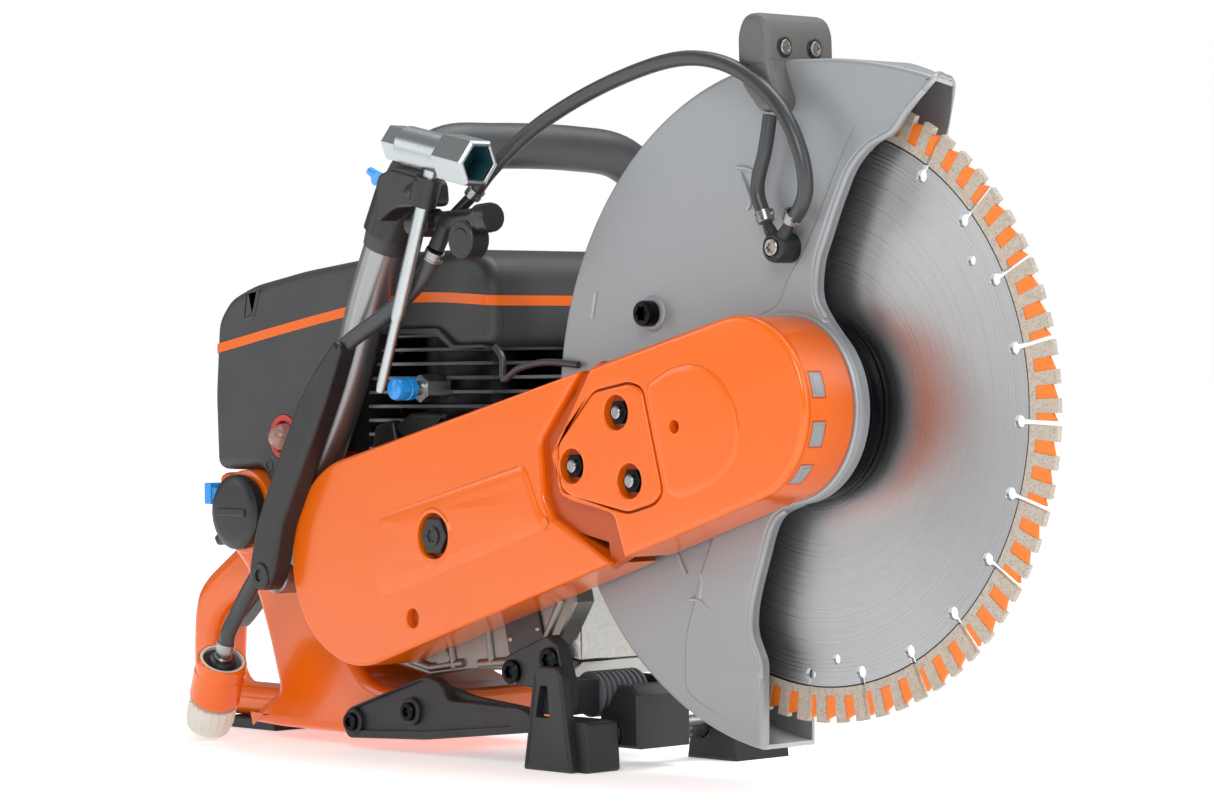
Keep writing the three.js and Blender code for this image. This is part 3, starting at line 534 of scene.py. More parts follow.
ground_steel = circled_steel("ground_blade_steel", "#AFB0B2", 0.34, 1400, (176.7, 177.7))
gauge_holes = [circle(159.6 * math.cos(a), 159.6 * math.sin(a), 3.2, 20) for a in np.radians([34.1, 275.2])]
through = rounded_levels(-1.6, 1.6, 0.2, steps=2)
core = slab(core_outline(), through, [(circle(0, 0, 12.7, 48), through)] + [(h, through) for h in gauge_holes])
piece("blade_core", core, ground_steel, "blade_assembly", "blade")


# ---- diamond segments ---------------------------------------------------------------------
# Sintered bronze and diamond grit, laser-welded to the core: beige blocks that stand full height,
# with painted recesses between them, each recess slanting back from the rim.
def sector(a0, a1, r0, r1, r1_end, half, steps=4):
    """A block of a ring: its four corners (r, y) carried from angle a0 to a1, closed at the ends."""
    a = np.linspace(a0, a1, steps)[:, None]
    outer = np.linspace(r1, r1_end, steps)[:, None]
    r = np.hstack([np.full_like(outer, r0), outer, outer, np.full_like(outer, r0)])
    y = np.broadcast_to([-half, -half, half, half], r.shape)
    points = np.stack([r * np.cos(a), y, r * np.sin(a)], -1).reshape(-1, 3)
    last = 4 * (steps - 1)
    return points, skin(steps, 4) + [[3, 2, 1, 0], [last, last + 1, last + 2, last + 3]]


TEETH = [("block", 0.19), ("paint", 0.175), ("block", 0.175), ("paint", 0.18), ("block", 0.18), ("paint", 0.1)]
blocks, paints = [], []
for k in range(SEGMENTS):
    end = FIRST_SLOT + (k + 1) * PITCH - SLOT / 2 / BLADE_R
    start = FIRST_SLOT + k * PITCH + SLOT / 2 / BLADE_R
    span = end - start
    blocks.append(sector(start, end, ROOT_R - 0.2, 182.8, 182.8, 1.9, 8))
    for kind, share in TEETH:
        step = share * span
        if kind == "block":
            blocks.append(sector(end, end - step, 182.6, BLADE_R, BLADE_R, 1.95))
        else:
            paints.append(sector(end, end - step, 182.6, 194.6, 197.8, 1.3))
        end -= step


def gritty(name, code, dark, grit_mm):
    """A sintered bond: pale matrix with dark and bright grit, at about the grit's own size."""
    parts = shader(name)
    tree = parts[1]
    cells = node(tree, "ShaderNodeTexVoronoi", {"Vector": place_of(tree), "Scale": 1000 / grit_mm})
    speck = ranged(tree, cells.outputs["Distance"], 0.12, 0.32, 0, 1)
    bond = mixed(tree, noise(tree, 260.0, 6.0), linear(dark), linear(code))
    return dressed(parts, mixed(tree, speck, linear("#4E473F"), bond), 0.72, speck, 0.2, 0.8, Metallic=0.15)


grit = gritty("sintered_diamond_bond", "#C9BFB1", "#A2968A", 1.1)
segment_paint = moulded("orange_segment_paint", "#F07A22", 0.5, 0.8, 0.08)
piece("blade_segments", joined(*blocks), grit, "blade_assembly")
piece("segment_recesses", joined(*paints), segment_paint, "blade_assembly")


# ---- flanges, bolt and spindle ------------------------------------------------------------
# Burnished black inner flange with a lip, pale outer flange, and the plated bolt that clamps
# the blade between them.
burnished = metal("burnished_black_steel", "#1B1C1E", 0.36, (260, 260, 260), stain=0.3)
inner = [(8.6, -15.2), (52, -15.2), (56, -14.6), (59.2, -12.4), (59.7, -10), (59.7, -8.4), (57.4, -7.6), (57.4, -6.2),
         (58.8, -5.2), (58.8, -2.6), (12.2, -2.4), (12.2, 1.6), (8.6, 1.6)]
piece("inner_clamp_flange", lathe(inner, (0, 0, 0), sides=96), burnished, "blade_assembly",
      "inner_flange")
cast_alloy = metal("cast_aluminium", "#96948F", 0.46, (700, 700, 700), depth=0.12, spread=0.12)
outer = [(8.6, 2.3), (51.4, 2.3), (52, 3), (52, 6.6), (50.4, 8.2), (44, 9.6), (30, 11.9), (8.6, 11.9)]
piece("outer_clamp_flange", lathe(outer, (0, 0, 0), sides=72), cast_alloy, "blade_assembly",
      "outer_flange")
hexagon = circle(0, 0, 24 / math.sqrt(3), 6)
bolt = joined(
    slab(hexagon, rounded_levels(14.6, 23, 0.4, 1.2)),
    lathe([(0, 12.4), (14.6, 12.4), (15, 12.8), (15, 14.2), (14.6, 14.6), (0, 14.6)], (0, 0, 0)),
)
piece("clamp_bolt", bolt, plated, "blade_assembly", "blade_bolt", crease=25)


# ---- blade guard --------------------------------------------------------------------------
# Die-cast and powder-coated satin grey: a deep rim between two plates, a thick hub ring, a raised
# field beside the cut-out and a rolled lip along its edge.
GUARD_R, HUB_R, HUB_BORE = 220.0, 60.8, 44.6
NOSE = np.array([[126, 201], [110, 205.5], [89, 210.5], [48, 217]], float)
CUT_LOW = [[-30, -172], [-30, -162], [-38, -144], [-38, -129], [-28, -98], [-15, -70], [6, -60.6]]
CUT_HIGH = [[39, 47], [31, 56], [23, 69], [24, 90], [32, 109], [43, 132], [54, 150], [69, 162], [89, 170],
            [101, 182], [119, 196]]


def rim_line(out):
    """The rim's nose and its arc about the hub, moved out by this much."""
    nose = NOSE * (1 + out / np.linalg.norm(NOSE, axis=1))[:, None]
    nose = smooth_path(np.vstack([nose, arc(0, 0, GUARD_R + out, 91, 80, 2)[:1]]), 24)
    return np.vstack([nose[:-1], arc(0, 0, GUARD_R + out, 91, 262, 90)])


def guard_plate(hub, high=CUT_HIGH):
    """The side of the guard: rim, lower cut-out, round the hub, upper cut-out."""
    low = smooth_path(CUT_LOW, 40)
    high = smooth_path(high, 60)
    a0 = math.degrees(math.atan2(low[-1][1], low[-1][0]))
    a1 = math.degrees(math.atan2(high[0][1], high[0][0]))
    return np.vstack([rim_line(0), low, arc(0, 0, hub, a0 + 1, a1 - 1, 30), high])


def slanted(shape):
    """The nose drawn back on the far side: x - 0.6 * (y + 25), fading out from x = 126 to 60."""
    points = np.array(shape[0], float)
    share = np.clip((points[:, 0] - 60) / 66, 0, 1) * (points[:, 2] > 120)
    points[:, 0] -= 0.6 * (points[:, 1] + 25) * share
    return points, shape[1]


def painted(name, code, roughness, edge_code, grain_mm=0.8, depth=0.06, metallic=0.25):
    """Powder coat on metal: a fine orange-peel bump, faint clouds, and rubbed edges found by
    the surface's own pointiness."""
    parts = shader(name)
    tree = parts[1]
    cloud = noise(tree, 8.0, 5.0)
    edge = node(tree, "ShaderNodeNewGeometry").outputs["Pointiness"]
    worn = ranged(tree, edge, 0.53, 0.62, 0, 0.6)
    coat = mixed(tree, worn, mixed(tree, cloud, dimmed(code, 0.9), linear(code)), linear(edge_code))
    rough = ranged(tree, cloud, 0, 1, roughness - 0.06, roughness + 0.08)
    peel = noise(tree, 1000 / grain_mm, 3.0)
    return dressed(parts, coat, rough, peel, depth, 0.5, Metallic=metallic)


guard_coat = painted("satin_grey_powder_coat", "#96999C", 0.4, "#B9BBBE")
bore = circle(0, 0, HUB_BORE, 64)
near = slab(guard_plate(HUB_R), rounded_levels(-25, -17, 3.4, 0.4), [(bore, rounded_levels(-25, -17, 0.4))])
far_line = guard_plate(76, CUT_HIGH[:7] + [[76, 158], [112, 167], [121, 182], [125, 198]])
far_bore = circle(0, 0, 62, 64)
far = slab(far_line, rounded_levels(22, 25, 0.4, 1.2), [(far_bore, rounded_levels(22, 25, 0.4))])
wall = slab(np.vstack([rim_line(0), rim_line(-3)[::-1]]), [(0, -20), (0, 24)])
hub_ring = [(HUB_BORE, -28.4), (45, -28.6), (59.8, -28.6), (HUB_R, -27.8), (HUB_R, -24), (HUB_BORE, -24)]
ring = lathe(hub_ring, (0, 0, 0), sides=96)
piece("guard_shell", slanted(joined(near, far, wall, ring)), guard_coat, "guard_assembly",
      "blade_guard", crease=38)

SEAM_HIGH = [[66, 203], [59, 182], [49, 165], [32, 133], [14, 102], [-1, 83], [-11, 67], [-28, 60], [-44, 56]]
SEAM_LOW = [[-70, -78], [-74, -87], [-84, -108], [-90, -126], [-97, -145], [-99, -165], [-98, -182], [-93, -188],
            [-71, -200], [-38, -214]]
high_edge = smooth_path(CUT_HIGH, 50)[2:]
low_edge = smooth_path(CUT_LOW, 34)[:-3]
field_high = np.vstack([smooth_path(SEAM_HIGH, 50), arc(0, 0, 58, 130, 60, 14), high_edge, [[118, 200], [92, 206]]])
field_low = np.vstack([smooth_path(SEAM_LOW, 50), low_edge, arc(0, 0, 58, -80, -120, 8)])
fields = joined(
    slab(field_high, [(3.2, -27.2), (2.2, -27), (0.8, -26), (0.2, -24.5), (0.2, -22)]),
    slab(field_low, [(3.0, -27.2), (2.0, -27), (0.7, -26), (0.2, -24.5), (0.2, -22)]),
)
faded = np.clip((fields[0][:, 2] - 140) / 45, 0, 1) + np.clip((-180 - fields[0][:, 2]) / 20, 0, 1)
fields[0][:, 1] += np.where(fields[0][:, 1] < -25, 2.6 * faded, 0)
piece("guard_fields", slanted(fields), guard_coat, "guard_assembly", crease=50)
lips = joined(
    sweep(np.insert(inset(high_edge, 0)[1:-1], 1, -24.6, axis=1), 2.1, 12),
    sweep(np.insert(low_edge, 1, -24.6, axis=1), 2.1, 12),
)
piece("guard_lips", lips, guard_coat, "guard_assembly")
nose_frame = smooth_path([[101, -24, 181.5], [112, -24, 191], [123, -24, 199.5], [120, -17, 202.6], [108, 3, 202.8],
                          [98, 19, 202.4], [95.4, 23.6, 199], [92, 23.8, 184], [88, 23.8, 168]], 60)
piece("nose_frame", sweep(nose_frame, 1.9, 12), guard_coat, "guard_assembly")
MARKS = [  # a line's points, its steps and its radius
    ([[-46, -25.2, 154], [-38, -25.8, 153], [-32, -25.2, 151]], 8, 1.3),
    ([[-43, -25.2, 150], [-38, -26, 141], [-34, -26, 131], [-37, -25.4, 127]], 14, 1.6),
    ([[-82, -26.2, -107], [-81, -26.6, -115], [-83, -26.6, -123]], 8, 1.3),
    ([[-92, -26, -124], [-84, -26.8, -124], [-75, -26.4, -130]], 10, 1.4),
    ([[-181, -25.2, 77], [-185, -25.2, 60]], 2, 1.2),
    ([[-105, -24.8, -95], [-97, -25.4, -108]], 2, 1.6),
]
marks = joined(*[sweep(smooth_path(line, steps) if steps > 2 else line, radius, 8) for line, steps, radius in MARKS])
piece("guard_ribs", marks, guard_coat, "guard_assembly")


# ---- screws -------------------------------------------------------------------------------
# Black socket-head screws with a six-lobe recess; the guard's own have bright heads.
def socket_screw(centre, axis, radius, height, recess=0.5):
    """A turned head whose recess has six lobes: r(a) = r0 * (1 + 0.16 cos 6a)."""
    r, h = radius, height
    profile = [(0.98 * r, 0), (r, 0.1 * h), (r, 0.8 * h), (0.93 * r, 0.95 * h), (0.82 * r, h), (recess * r * 1.1, h),
               (recess * r, 0.94 * h), (recess * r * 0.94, 0.45 * h), (0, 0.4 * h)]
    lobes = {5: (6, 0.12), 6: (6, 0.16), 7: (6, 0.16)}
    return joined(
        lathe(profile, centre, axis, 36, lobes),
        lathe([(0, -0.2 * h), (0.98 * r, -0.2 * h), (0.98 * r, 0.02)], centre, axis, 36),
    )


black_steel = metal("blackened_screw_steel", "#232427", 0.34, (400, 400, 400), stain=0.3)
OUT = (0, -1, 0)
piece("guard_screw", socket_screw((-126, -27, 62), OUT, 8.6, 9), black_steel, "guard_assembly")
piece(
    "guard_screw_boss",
    lathe([(0, -20), (12.5, -24), (12, -25.6), (10.6, -26.6), (9.4, -27), (0, -27)], (-126, 0, 62)),
    guard_coat, "guard_assembly",
)


# ---- guard grip ---------------------------------------------------------------------------
# A warm grey nylon block bolted on the rim to set the guard by hand, with a fork below that
# carries the hose.
grip_nylon = moulded("warm_grey_nylon", "#5F5E5C", 0.5, 0.7, 0.08)


def soften(points, radius, steps=6):
    """Every corner of a closed line rounded off: (1-t)^2 a + 2t(1-t) corner + t^2 b."""
    p = np.asarray(points, float)
    before, after = np.roll(p, 1, 0) - p, np.roll(p, -1, 0) - p
    lb, la = np.linalg.norm(before, axis=1), np.linalg.norm(after, axis=1)
    reach = np.minimum(radius, 0.48 * np.minimum(lb, la))[:, None]
    a, b = p + before / lb[:, None] * reach, p + after / la[:, None] * reach
    t = np.linspace(0, 1, steps)[None, :, None]
    curve = (1 - t) ** 2 * a[:, None] + 2 * t * (1 - t) * p[:, None] + t**2 * b[:, None]
    return curve.reshape(-1, 2)


block_line = soften([[-29, 214], [-29.5, 238], [-23, 249.5], [-8, 249.5], [-2, 239], [-1.4, 214]], 7)
apron = soften([[-28, 224], [-27.5, 205], [-11, 186.5], [5, 186.5], [7.4, 194], [-1, 213], [-2.4, 224]], 5)
grip = joined(
    slab(block_line, rounded_levels(-42, 22.5, 5, 9)),
    slab(apron, rounded_levels(-41.2, -25.4, 5, 0.3)),
)
piece("guard_grip_block", grip, grip_nylon, "guard_assembly", "guard_grip")
wells = [lathe([(0, -2), (6.9, -2), (6.9, 0.5), (6.4, 0.9), (0, 0.9)], (-2.1, y, 227.4), (1, 0, 0)) for y in (-26, 1)]
parting = sweep([[-19.5, -41.2, 214], [-19.5, -41.2, 238]], 0.35, 8)
piece("grip_screw_wells", joined(parting, *wells), black_nylon, "guard_assembly")
bright_screw = metal("turned_screw_steel", "#A9A5A2", 0.3, (400, 400, 400))
piece(
    "grip_screws",
    joined(*[socket_screw((-1.6, y, 227.4), (1, 0, 0), 4.8, 2.0, 0.6) for y in (-26, 1)]),
    bright_screw, "guard_assembly",
)


# ---- hoses and their clamps ---------------------------------------------------------------
# Black rubber hoses, 9 to 12 mm across, pushed over barbed nipples and held by bent steel clamps.
ARC_HOSE_R, GUARD_HOSE_R = 5.0, 4.6
ARC_ROUTE = [
    [-265, -60, 144.4], [-250, -57, 160], [-211, -50, 188], [-134, -47, 215], [-66, -47, 224], [-21, -47, 213],
    [15, -47, 187], [32, -46, 156], [32, -43, 135], [24, -40, 124], [14.2, -37.2, 117.6],
]
GUARD_HOSE_ROUTE = [[-9.5, -36, 117.5], [-17, -36, 138], [-9, -36.5, 164], [-4.5, -36.5, 184.4]]
INLET_ROUTE = [
    [-289.8, -73.3, 107], [-302, -73, 91], [-325, -73, 75], [-345, -74, 64], [-381, -78, 45], [-403, -81, 26],
    [-419, -81, 0], [-436, -81, -40], [-452, -81, -76], [-467, -80, -100],
]
bends = ("machine", "guard_assembly", tuple(at(ARC_ROUTE[0])), tuple(at(ARC_ROUTE[-1])))
for name, route, count, radius, body, stands_for in (
    ("arc_water_hose", ARC_ROUTE, 110, ARC_HOSE_R, bends, "arc_hose"),
    ("guard_water_hose", GUARD_HOSE_ROUTE, 40, GUARD_HOSE_R, "guard_assembly", "guard_hose"),
    ("inlet_water_hose", INLET_ROUTE, 90, HOSE_R, "machine", "inlet_hose"),
):
    piece(name, sweep(smooth_path(route, count), radius), hose_rubber, body, stands_for)


def hose_clamp(centre, axis, radius):
    """A flat band round the hose with a pinched ear and a tail."""
    axis = np.asarray(axis, float) / np.linalg.norm(axis)
    side = np.cross(axis, (0, -1, 0.2))
    side /= np.linalg.norm(side)
    centre = np.asarray(centre, float)
    r = radius
    flat = [(r, -3.4), (r + 0.9, -3.4), (r + 1.1, -3), (r + 1.1, 3), (r + 0.9, 3.4), (r, 3.4)]
    band = lathe(flat, centre, axis, 32)
    ears = []
    for sign in (1, -1):
        foot = centre + side * (r + 0.6) * sign
        ears.append(sweep([foot, foot + side * 2.6 * sign + axis * 0.6], [1.5, 1.0], 10))
    bead = lathe([(r, 2.2), (r + 1.6, 2.4), (r + 1.6, 3.4), (r, 3.6)], centre, axis, 32)
    return joined(band, bead, *ears)


clamp_steel = metal("galvanised_clamp_band", "#9C9D9C", 0.3, (500, 500, 80))
guard_clamps = joined(
    hose_clamp((15.6, -37.6, 119.4), (0.6, -0.2, 0.77), ARC_HOSE_R - 0.1),
    hose_clamp((-10.4, -36, 120.8), (-0.36, 0, 0.93), GUARD_HOSE_R - 0.1),
)
piece("guard_hose_clamps", guard_clamps, clamp_steel, "guard_assembly")
machine_clamps = joined(
    hose_clamp((-264, -59.6, 146), (0.66, 0.14, 0.74), ARC_HOSE_R - 0.1),
    hose_clamp((-291, -73.2, 105), (-0.6, 0, -0.8), HOSE_R - 0.1),
)
piece("valve_hose_clamps", machine_clamps, clamp_steel, "machine")
banjo = joined(
    lathe([(0, -25.4), (9.6, -25.4), (9.8, -27), (9.8, -38), (9, -41), (7.4, -42), (6.6, -42), (6.4, -41), (0, -41)],
          (1, 0, 101)),
    sweep([[1, -36, 101], [-4, -36, 109], [-8.5, -36, 116]], [4.6, 4.4, 3.4]),
    sweep([[1, -37, 101], [7, -37, 109], [12.5, -37.2, 115.5]], [4.6, 4.4, 3.4]),
)
piece("guard_banjo", banjo, black_nylon, "guard_assembly", "guard_water_fitting")
piece("banjo_screw", socket_screw((1, -40.8, 101), OUT, 5.4, 2.6, 0.6), bright_screw, "guard_assembly")


# ---- belt covers --------------------------------------------------------------------------
# Two glossy orange nylon shells over the belt: the front one overlaps the rear one in a stepped
# seam, and both are open at the back, towards the cutting arm.
CRANK = np.array([-380.0, -106.0])
FRONT_R, REAR_R, COVER_NEAR, COVER_FAR = 58.5, 73.0, -73.0, -29.0
away = math.degrees(math.atan2(CRANK[1], CRANK[0])) % 360
spread = math.degrees(math.acos((FRONT_R - REAR_R) / np.linalg.norm(CRANK)))
SEAM_FRONT = [[-136, 27.2], [-133, 9], [-176, -28], [-167, -57], [-117, -68], [-108, -81], [-105.8, -95.2]]
SEAM_REAR = [[-146, 25], [-151, 15], [-186, -21], [-183, -58], [-174, -72], [-121, -82], [-118.6, -99.4]]


def half_cover(curve, seam):
    """A cover's outline: its round end, then the seam with every corner but its ends softened."""
    return np.vstack([curve, seam[-1:], soften(seam, 4)[12:-12][::-1], seam[:1]])


front_line = half_cover(arc(0, 0, FRONT_R, away - spread, away + spread - 360, 60), SEAM_FRONT)
rear_line = half_cover(arc(*CRANK, REAR_R, away - spread, away + spread, 60), SEAM_REAR)
# A darker orange that paints shade: it colours the seam's channel and the frames round the sight windows darker than
# the lit covers.
painted_shade_orange = moulded("painted_shade_orange_nylon", "#B5480E", 0.35, 1.6, 0.02)


def cover(outline, holes, wall=3):
    """A cover's face and the wall behind it: rounded face edge, wall this many millimetres thick."""
    hole_levels = rounded_levels(COVER_NEAR, -67.5, 1.4, 0.1)
    outline = facing(outline)
    face = slab(outline, rounded_levels(COVER_NEAR, -67.5, 3.4, 0.1), [(h, hole_levels) for h in holes])
    inside = [(inset(outline, wall), [(0, -68.4), (0, COVER_FAR)])]
    return joined(face, slab(outline, [(0, -68.4), (0, -29.6), (0.5, COVER_FAR)], inside))


NUT_SPOTS = [(-111, -2), (-154, -37), (-99, -46)]
PLATE = soften([[-132, 11], [-99, 16.5], [-87, 13], [-69, -53], [-77, -60], [-101, -66], [-156, -56.5], [-165, -51],
                [-167, -23]], 5)
plate_gap = inset(facing(PLATE), -1.3)
piece(
    "front_belt_cover", cover(front_line, [plate_gap, circle(-56, -11, 4.2, 24)]), orange,
    "machine", "front_belt_guard", crease=40,
)
nut_plate = slab(PLATE, rounded_levels(-73.6, -66, 1.6, 0.2),
                 [(circle(x, z, 11.3, 36), rounded_levels(-73.6, -66, 1.2, 0.1)) for x, z in NUT_SPOTS])
TONGUE = soften([[-83, 16], [-62, 26], [-42, 29.5], [-27, 27], [-13, 19], [-1, 4], [3, -12], [0, -29], [-11, -41],
                 [-26, -49.5], [-52, -57], [-64, -54]], 5)
tongue = slab(TONGUE, [(5, -73.9), (2.5, -73.8), (1, -73.4), (0, -72.6), (0, -70)],
              [(circle(-56, -11, 4.4, 24), [(0, -73.9), (0, -70)])])
piece("nut_plate", joined(nut_plate, tongue), orange, "machine", crease=40)
LONG_PANEL = soften([[-200, -35], [-352, -71], [-374, -82], [-386, -104], [-374, -124], [-351, -132.5], [-170, -76],
                     [-184, -68], [-192, -50]], 9)
TENSIONER = (-294, -86)
rear_holes = [circle(*TENSIONER, 15.5, 40), circle(-319, -143, 6.4, 28)]
piece("rear_belt_shell", cover(rear_line, rear_holes), orange, "machine", "rear_belt_cover",
      crease=40)
long_panel = slab(LONG_PANEL, [(8, -74.2), (4, -74.1), (1.5, -73.6), (0, -72.6), (0, -70)],
                  [(circle(*TENSIONER, 15.6, 40), rounded_levels(-74.2, -70, 1.2, 0.1))])
rim_ring = lathe([(15.5, -73.2), (16, -74.6), (17, -75), (18.4, -74.9), (19.4, -73.9), (19.4, -72), (15.5, -72)],
                 (TENSIONER[0], 0, TENSIONER[1]))
sunk = 1.6 * np.clip((-318 - long_panel[0][:, 0]) / 50, 0, 1)
long_panel[0][:, 1] += np.where(long_panel[0][:, 1] < -72, sunk, 0)
piece("rear_cover_panel", joined(long_panel, rim_ring), orange, "machine", crease=40)
# The floor of the seam's channel and the backs of both faces, in the darker orange that paints the deep shade inside
# the channel.
channel = np.vstack([np.array(SEAM_FRONT) + [5, 4], np.array(SEAM_REAR)[::-1] - [5, 4]])
lining = joined(
    slab(inset(facing(front_line), 2.5), [(0, -67.2), (0, -66)]),
    slab(inset(facing(rear_line), 2.5), [(0, -67.2), (0, -66)]),
    slab(channel, [(0, -66.4), (0, -60)]),
)
piece("belt_cover_lining", lining, painted_shade_orange, "machine")

window_glass = moulded("silver_window_plastic", "#8F9193", 0.16, 1.5, 0.02, coat=0.6)
lenses, frames = [], []
for middle in (15, -15.5, -44):
    a0, a1 = math.radians(middle - 7.6), math.radians(middle + 7.6)
    lens = sector(a0, a1, 55, FRONT_R + 0.35, FRONT_R + 0.35, 5.2, 8)
    frame_shape = sector(a0 - 0.02, a1 + 0.02, 55, FRONT_R + 0.16, FRONT_R + 0.16, 6.4, 8)
    cell = sector(a0 + 0.03, a1 - 0.03, 55, FRONT_R + 0.9, FRONT_R + 0.9, 3.6, 8)
    lenses += [(lens[0] + [0, -59.5, 0], lens[1]), (cell[0] + [0, -59.5, 0], cell[1])]
    frames.append((frame_shape[0] + [0, -59.5, 0], frame_shape[1]))
piece("sight_windows", joined(*lenses), window_glass, "machine", bevel=0.3)
# The frames are in the darker orange too, which paints the shade round each window.
piece("sight_window_frames", joined(*frames), painted_shade_orange, "machine", bevel=0.3)


# ---- arm nuts and belt tensioner ----------------------------------------------------------
# Black flanged nuts on pale studs, deep in the nut plate, and the tensioner's black hexagon.
def ring_of(profile, x, z, sides=36):
    """A profile turned about a line along Y through (x, z)."""
    return lathe(profile, (x, 0, z), sides=sides)


for number, (x, z) in enumerate(NUT_SPOTS, 1):
    hexed = circle(x, z, 13 / math.sqrt(3) + 0.9, 6)
    nut = joined(
        slab(hexed, rounded_levels(-71.6, -64, 1.0, 0.2)),
        ring_of([(4, -67), (9.6, -67), (10.2, -66.4), (10.2, -65), (4, -65)], x, z),
    )
    piece(f"flanged_nut_{number}", nut, black_steel, "machine", f"arm_nut_{number}", crease=25)
studs = [ring_of([(0, -74.4), (3.2, -74.4), (4.2, -73.6), (4.2, -64), (0, -64)], x, z, 24) for x, z in NUT_SPOTS]
piece("stud_ends", joined(*studs), plated, "machine")
hexed = circle(*TENSIONER, 23.5 / math.sqrt(3), 6)
tensioner = joined(
    slab(hexed, rounded_levels(-74.6, -64, 1.2, 0.3)),
    socket_screw((TENSIONER[0], -74.2, TENSIONER[1]), OUT, 6.6, 1.6, 0.66),
)
piece("tensioner_hexagon", tensioner, black_nylon, "belt_tensioner", "belt_tensioner", crease=25)


# ---- belt, pulleys and arm ----------------------------------------------------------------
# Behind the covers: cast arm, ribbed belt on turned pulleys, clutch drum, spindle and bearing.
def refined(name, material, width=0.8, crease=30):
    """A copy of a CAD node's mesh, merged and flattened, with its edges rounded by width mm."""
    source = frame["nodes"][name]
    work = bmesh.new()
    work.from_mesh(source.data)
    bmesh.ops.remove_doubles(work, verts=work.verts, dist=1e-5)
    bmesh.ops.dissolve_limit(work, angle_limit=math.radians(0.6), verts=work.verts, edges=work.edges)
    points = np.array([v.co for v in work.verts])
    faces = [[v.index for v in f.verts] for f in work.faces]
    work.free()
    shape = ((points - HUB) * 1000, faces)
    return piece(name + "_finished", shape, material, source["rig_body"], name, crease, width)


turned_steel = metal("turned_steel", "#9C9DA0", 0.26, (90, 500, 90))
belt_rubber = rubber("ribbed_belt_rubber", "#1F1F20", 0.7, 0.7, 0.1)
for name, material, slot, width in (
    ("cutting_arm", cast_alloy, "cast_aluminium", 1.2),
    ("driven_pulley", turned_steel, "steel", 0.4),
    ("clutch_drum", turned_steel, "steel", 0.4),
    ("spindle_shaft", turned_steel, "steel", 0.4),
    ("spindle_bearing", turned_steel, "steel", 0.4),
    ("drive_belt", belt_rubber, "belt_rubber", 0.3),
    ("crankshaft", turned_steel, "steel", 0.5),
    ("flywheel", cast_alloy, "cast_aluminium", 0.8),
):
    refined(name, material, width)


# ---- engine -------------------------------------------------------------------------------
# Die-cast crankcase, black-lacquered finned cylinder with machined fin edges, a stamped and
# polished silencer, carburettor, filter and plug.
refined("crankcase", cast_alloy, 1.6)
case_ribs = joined(
    *[sweep([[x0, -28.2, z0], [x1, -28.2, z1]], 3.4, 14) for x0, z0, x1, z1 in
      ((-398, -172, -352, -181), (-352, -181, -316, -176), (-300, -176, -262, -172), (-232, -158, -214, -128),
       (-330, -160, -326, -180), (-290, -150, -286, -176))],
    ring_of([(3.4, -29), (3.4, -31.5), (6.4, -31.5), (7.4, -30.6), (7.6, -27), (3.4, -27)], -366, -172, 28),
    ring_of([(0, -27), (0, -31), (6.6, -31), (7.4, -30.2), (7.6, -27)], -338, -173, 28),
    ring_of([(0, -27), (0, -30.6), (5.4, -30.6), (6.2, -29.8), (6.4, -27)], -248, -150, 28),
)
piece("crankcase_ribs", case_ribs, cast_alloy, "machine")
plate_paint = painted("dark_anodised_plate", "#38393B", 0.4, "#8C8D8F")
plate_line = soften([[-272, -144], [-237, -136], [-230, -160], [-266, -169]], 2)
data_plate = slab(plate_line, rounded_levels(-31, -28.6, 0.4))
piece("data_plate", data_plate, plate_paint, "machine")
rivets = [ring_of([(0, -32.4), (1.2, -32.2), (2.2, -31.4), (2.4, -30.8), (0, -30.8)], x, z, 20)
          for x, z in ((-265, -157), (-237, -149))]
piece("data_plate_rivets", joined(*rivets), bright_screw, "machine")
fin_paint = painted("black_fin_lacquer", "#26272A", 0.46, "#A5A6A8")
refined("cylinder", fin_paint, 0.5)
silencer = metal("polished_silencer_steel", "#B3B1AC", 0.2, (120, 120, 120), depth=0.03, spread=0.06)
refined("muffler", silencer, 5.0)
beads = joined(*[sweep(smooth_path([[-288, -12.2, z], [-262, -12.6, z + 4], [-232, -12.2, z + 2]], 20), 1.6, 10)
                 for z in (-60, -84)])
piece("silencer_beads", beads, silencer, "machine")
foam = rubber("oiled_filter_foam", "#4B4438", 0.9, 2.2, 0.6)
glaze = moulded("glazed_ceramic", "#E9E5DC", 0.2, 3.0, 0.02)
refined("carburettor", cast_alloy, 0.8)
refined("air_filter", foam, 2.0)
refined("spark_plug", glaze, 0.6)
chrome = metal("bright_chrome", "#B4BABC", 0.32, (200, 200, 200), depth=0.008, spread=0.06, stain=0.12)
refined("decompression_valve", chrome, 0.5, crease=25)
blue = moulded("bright_blue_acetal", "#1B93E4", 0.26, 1.8, 0.02, mottle=0.06, coat=0.3)
button = [(0, -62), (5.6, -62), (7.4, -61), (8.2, -59), (8.2, -53), (7.4, -52.4), (7.4, -51), (8.2, -50.4),
          (8.2, -46), (6, -43.2), (0, -43.2)]
piece("decompression_cap", lathe(button, (-350, 0, 14), sides=40), blue, "decompression_button",
      "decompression_button")

shroud_line = soften([[-420, -50], [-206, -50], [-206, 46], [-284, 60], [-420, 60]], 8)
piece("cooling_shroud", slab(shroud_line, rounded_levels(61, 66, 2)), black_nylon, "machine")


def coil(start, end, radius, wire, turns):
    """A helix: start + (end - start) * t + radius * (cos 2 pi n t, sin 2 pi n t), swept."""
    start, end = np.array(start, float), np.array(end, float)
    t = np.linspace(0, 1, int(turns * 20))[:, None]
    ahead = (end - start) / np.linalg.norm(end - start)
    u = np.cross(ahead, (0.1, 0.3, 0.9))
    u /= np.linalg.norm(u)
    v = np.cross(ahead, u)
    a = 2 * np.pi * turns * t
    return sweep(start + (end - start) * t + radius * (u * np.cos(a) + v * np.sin(a)), wire, 10)


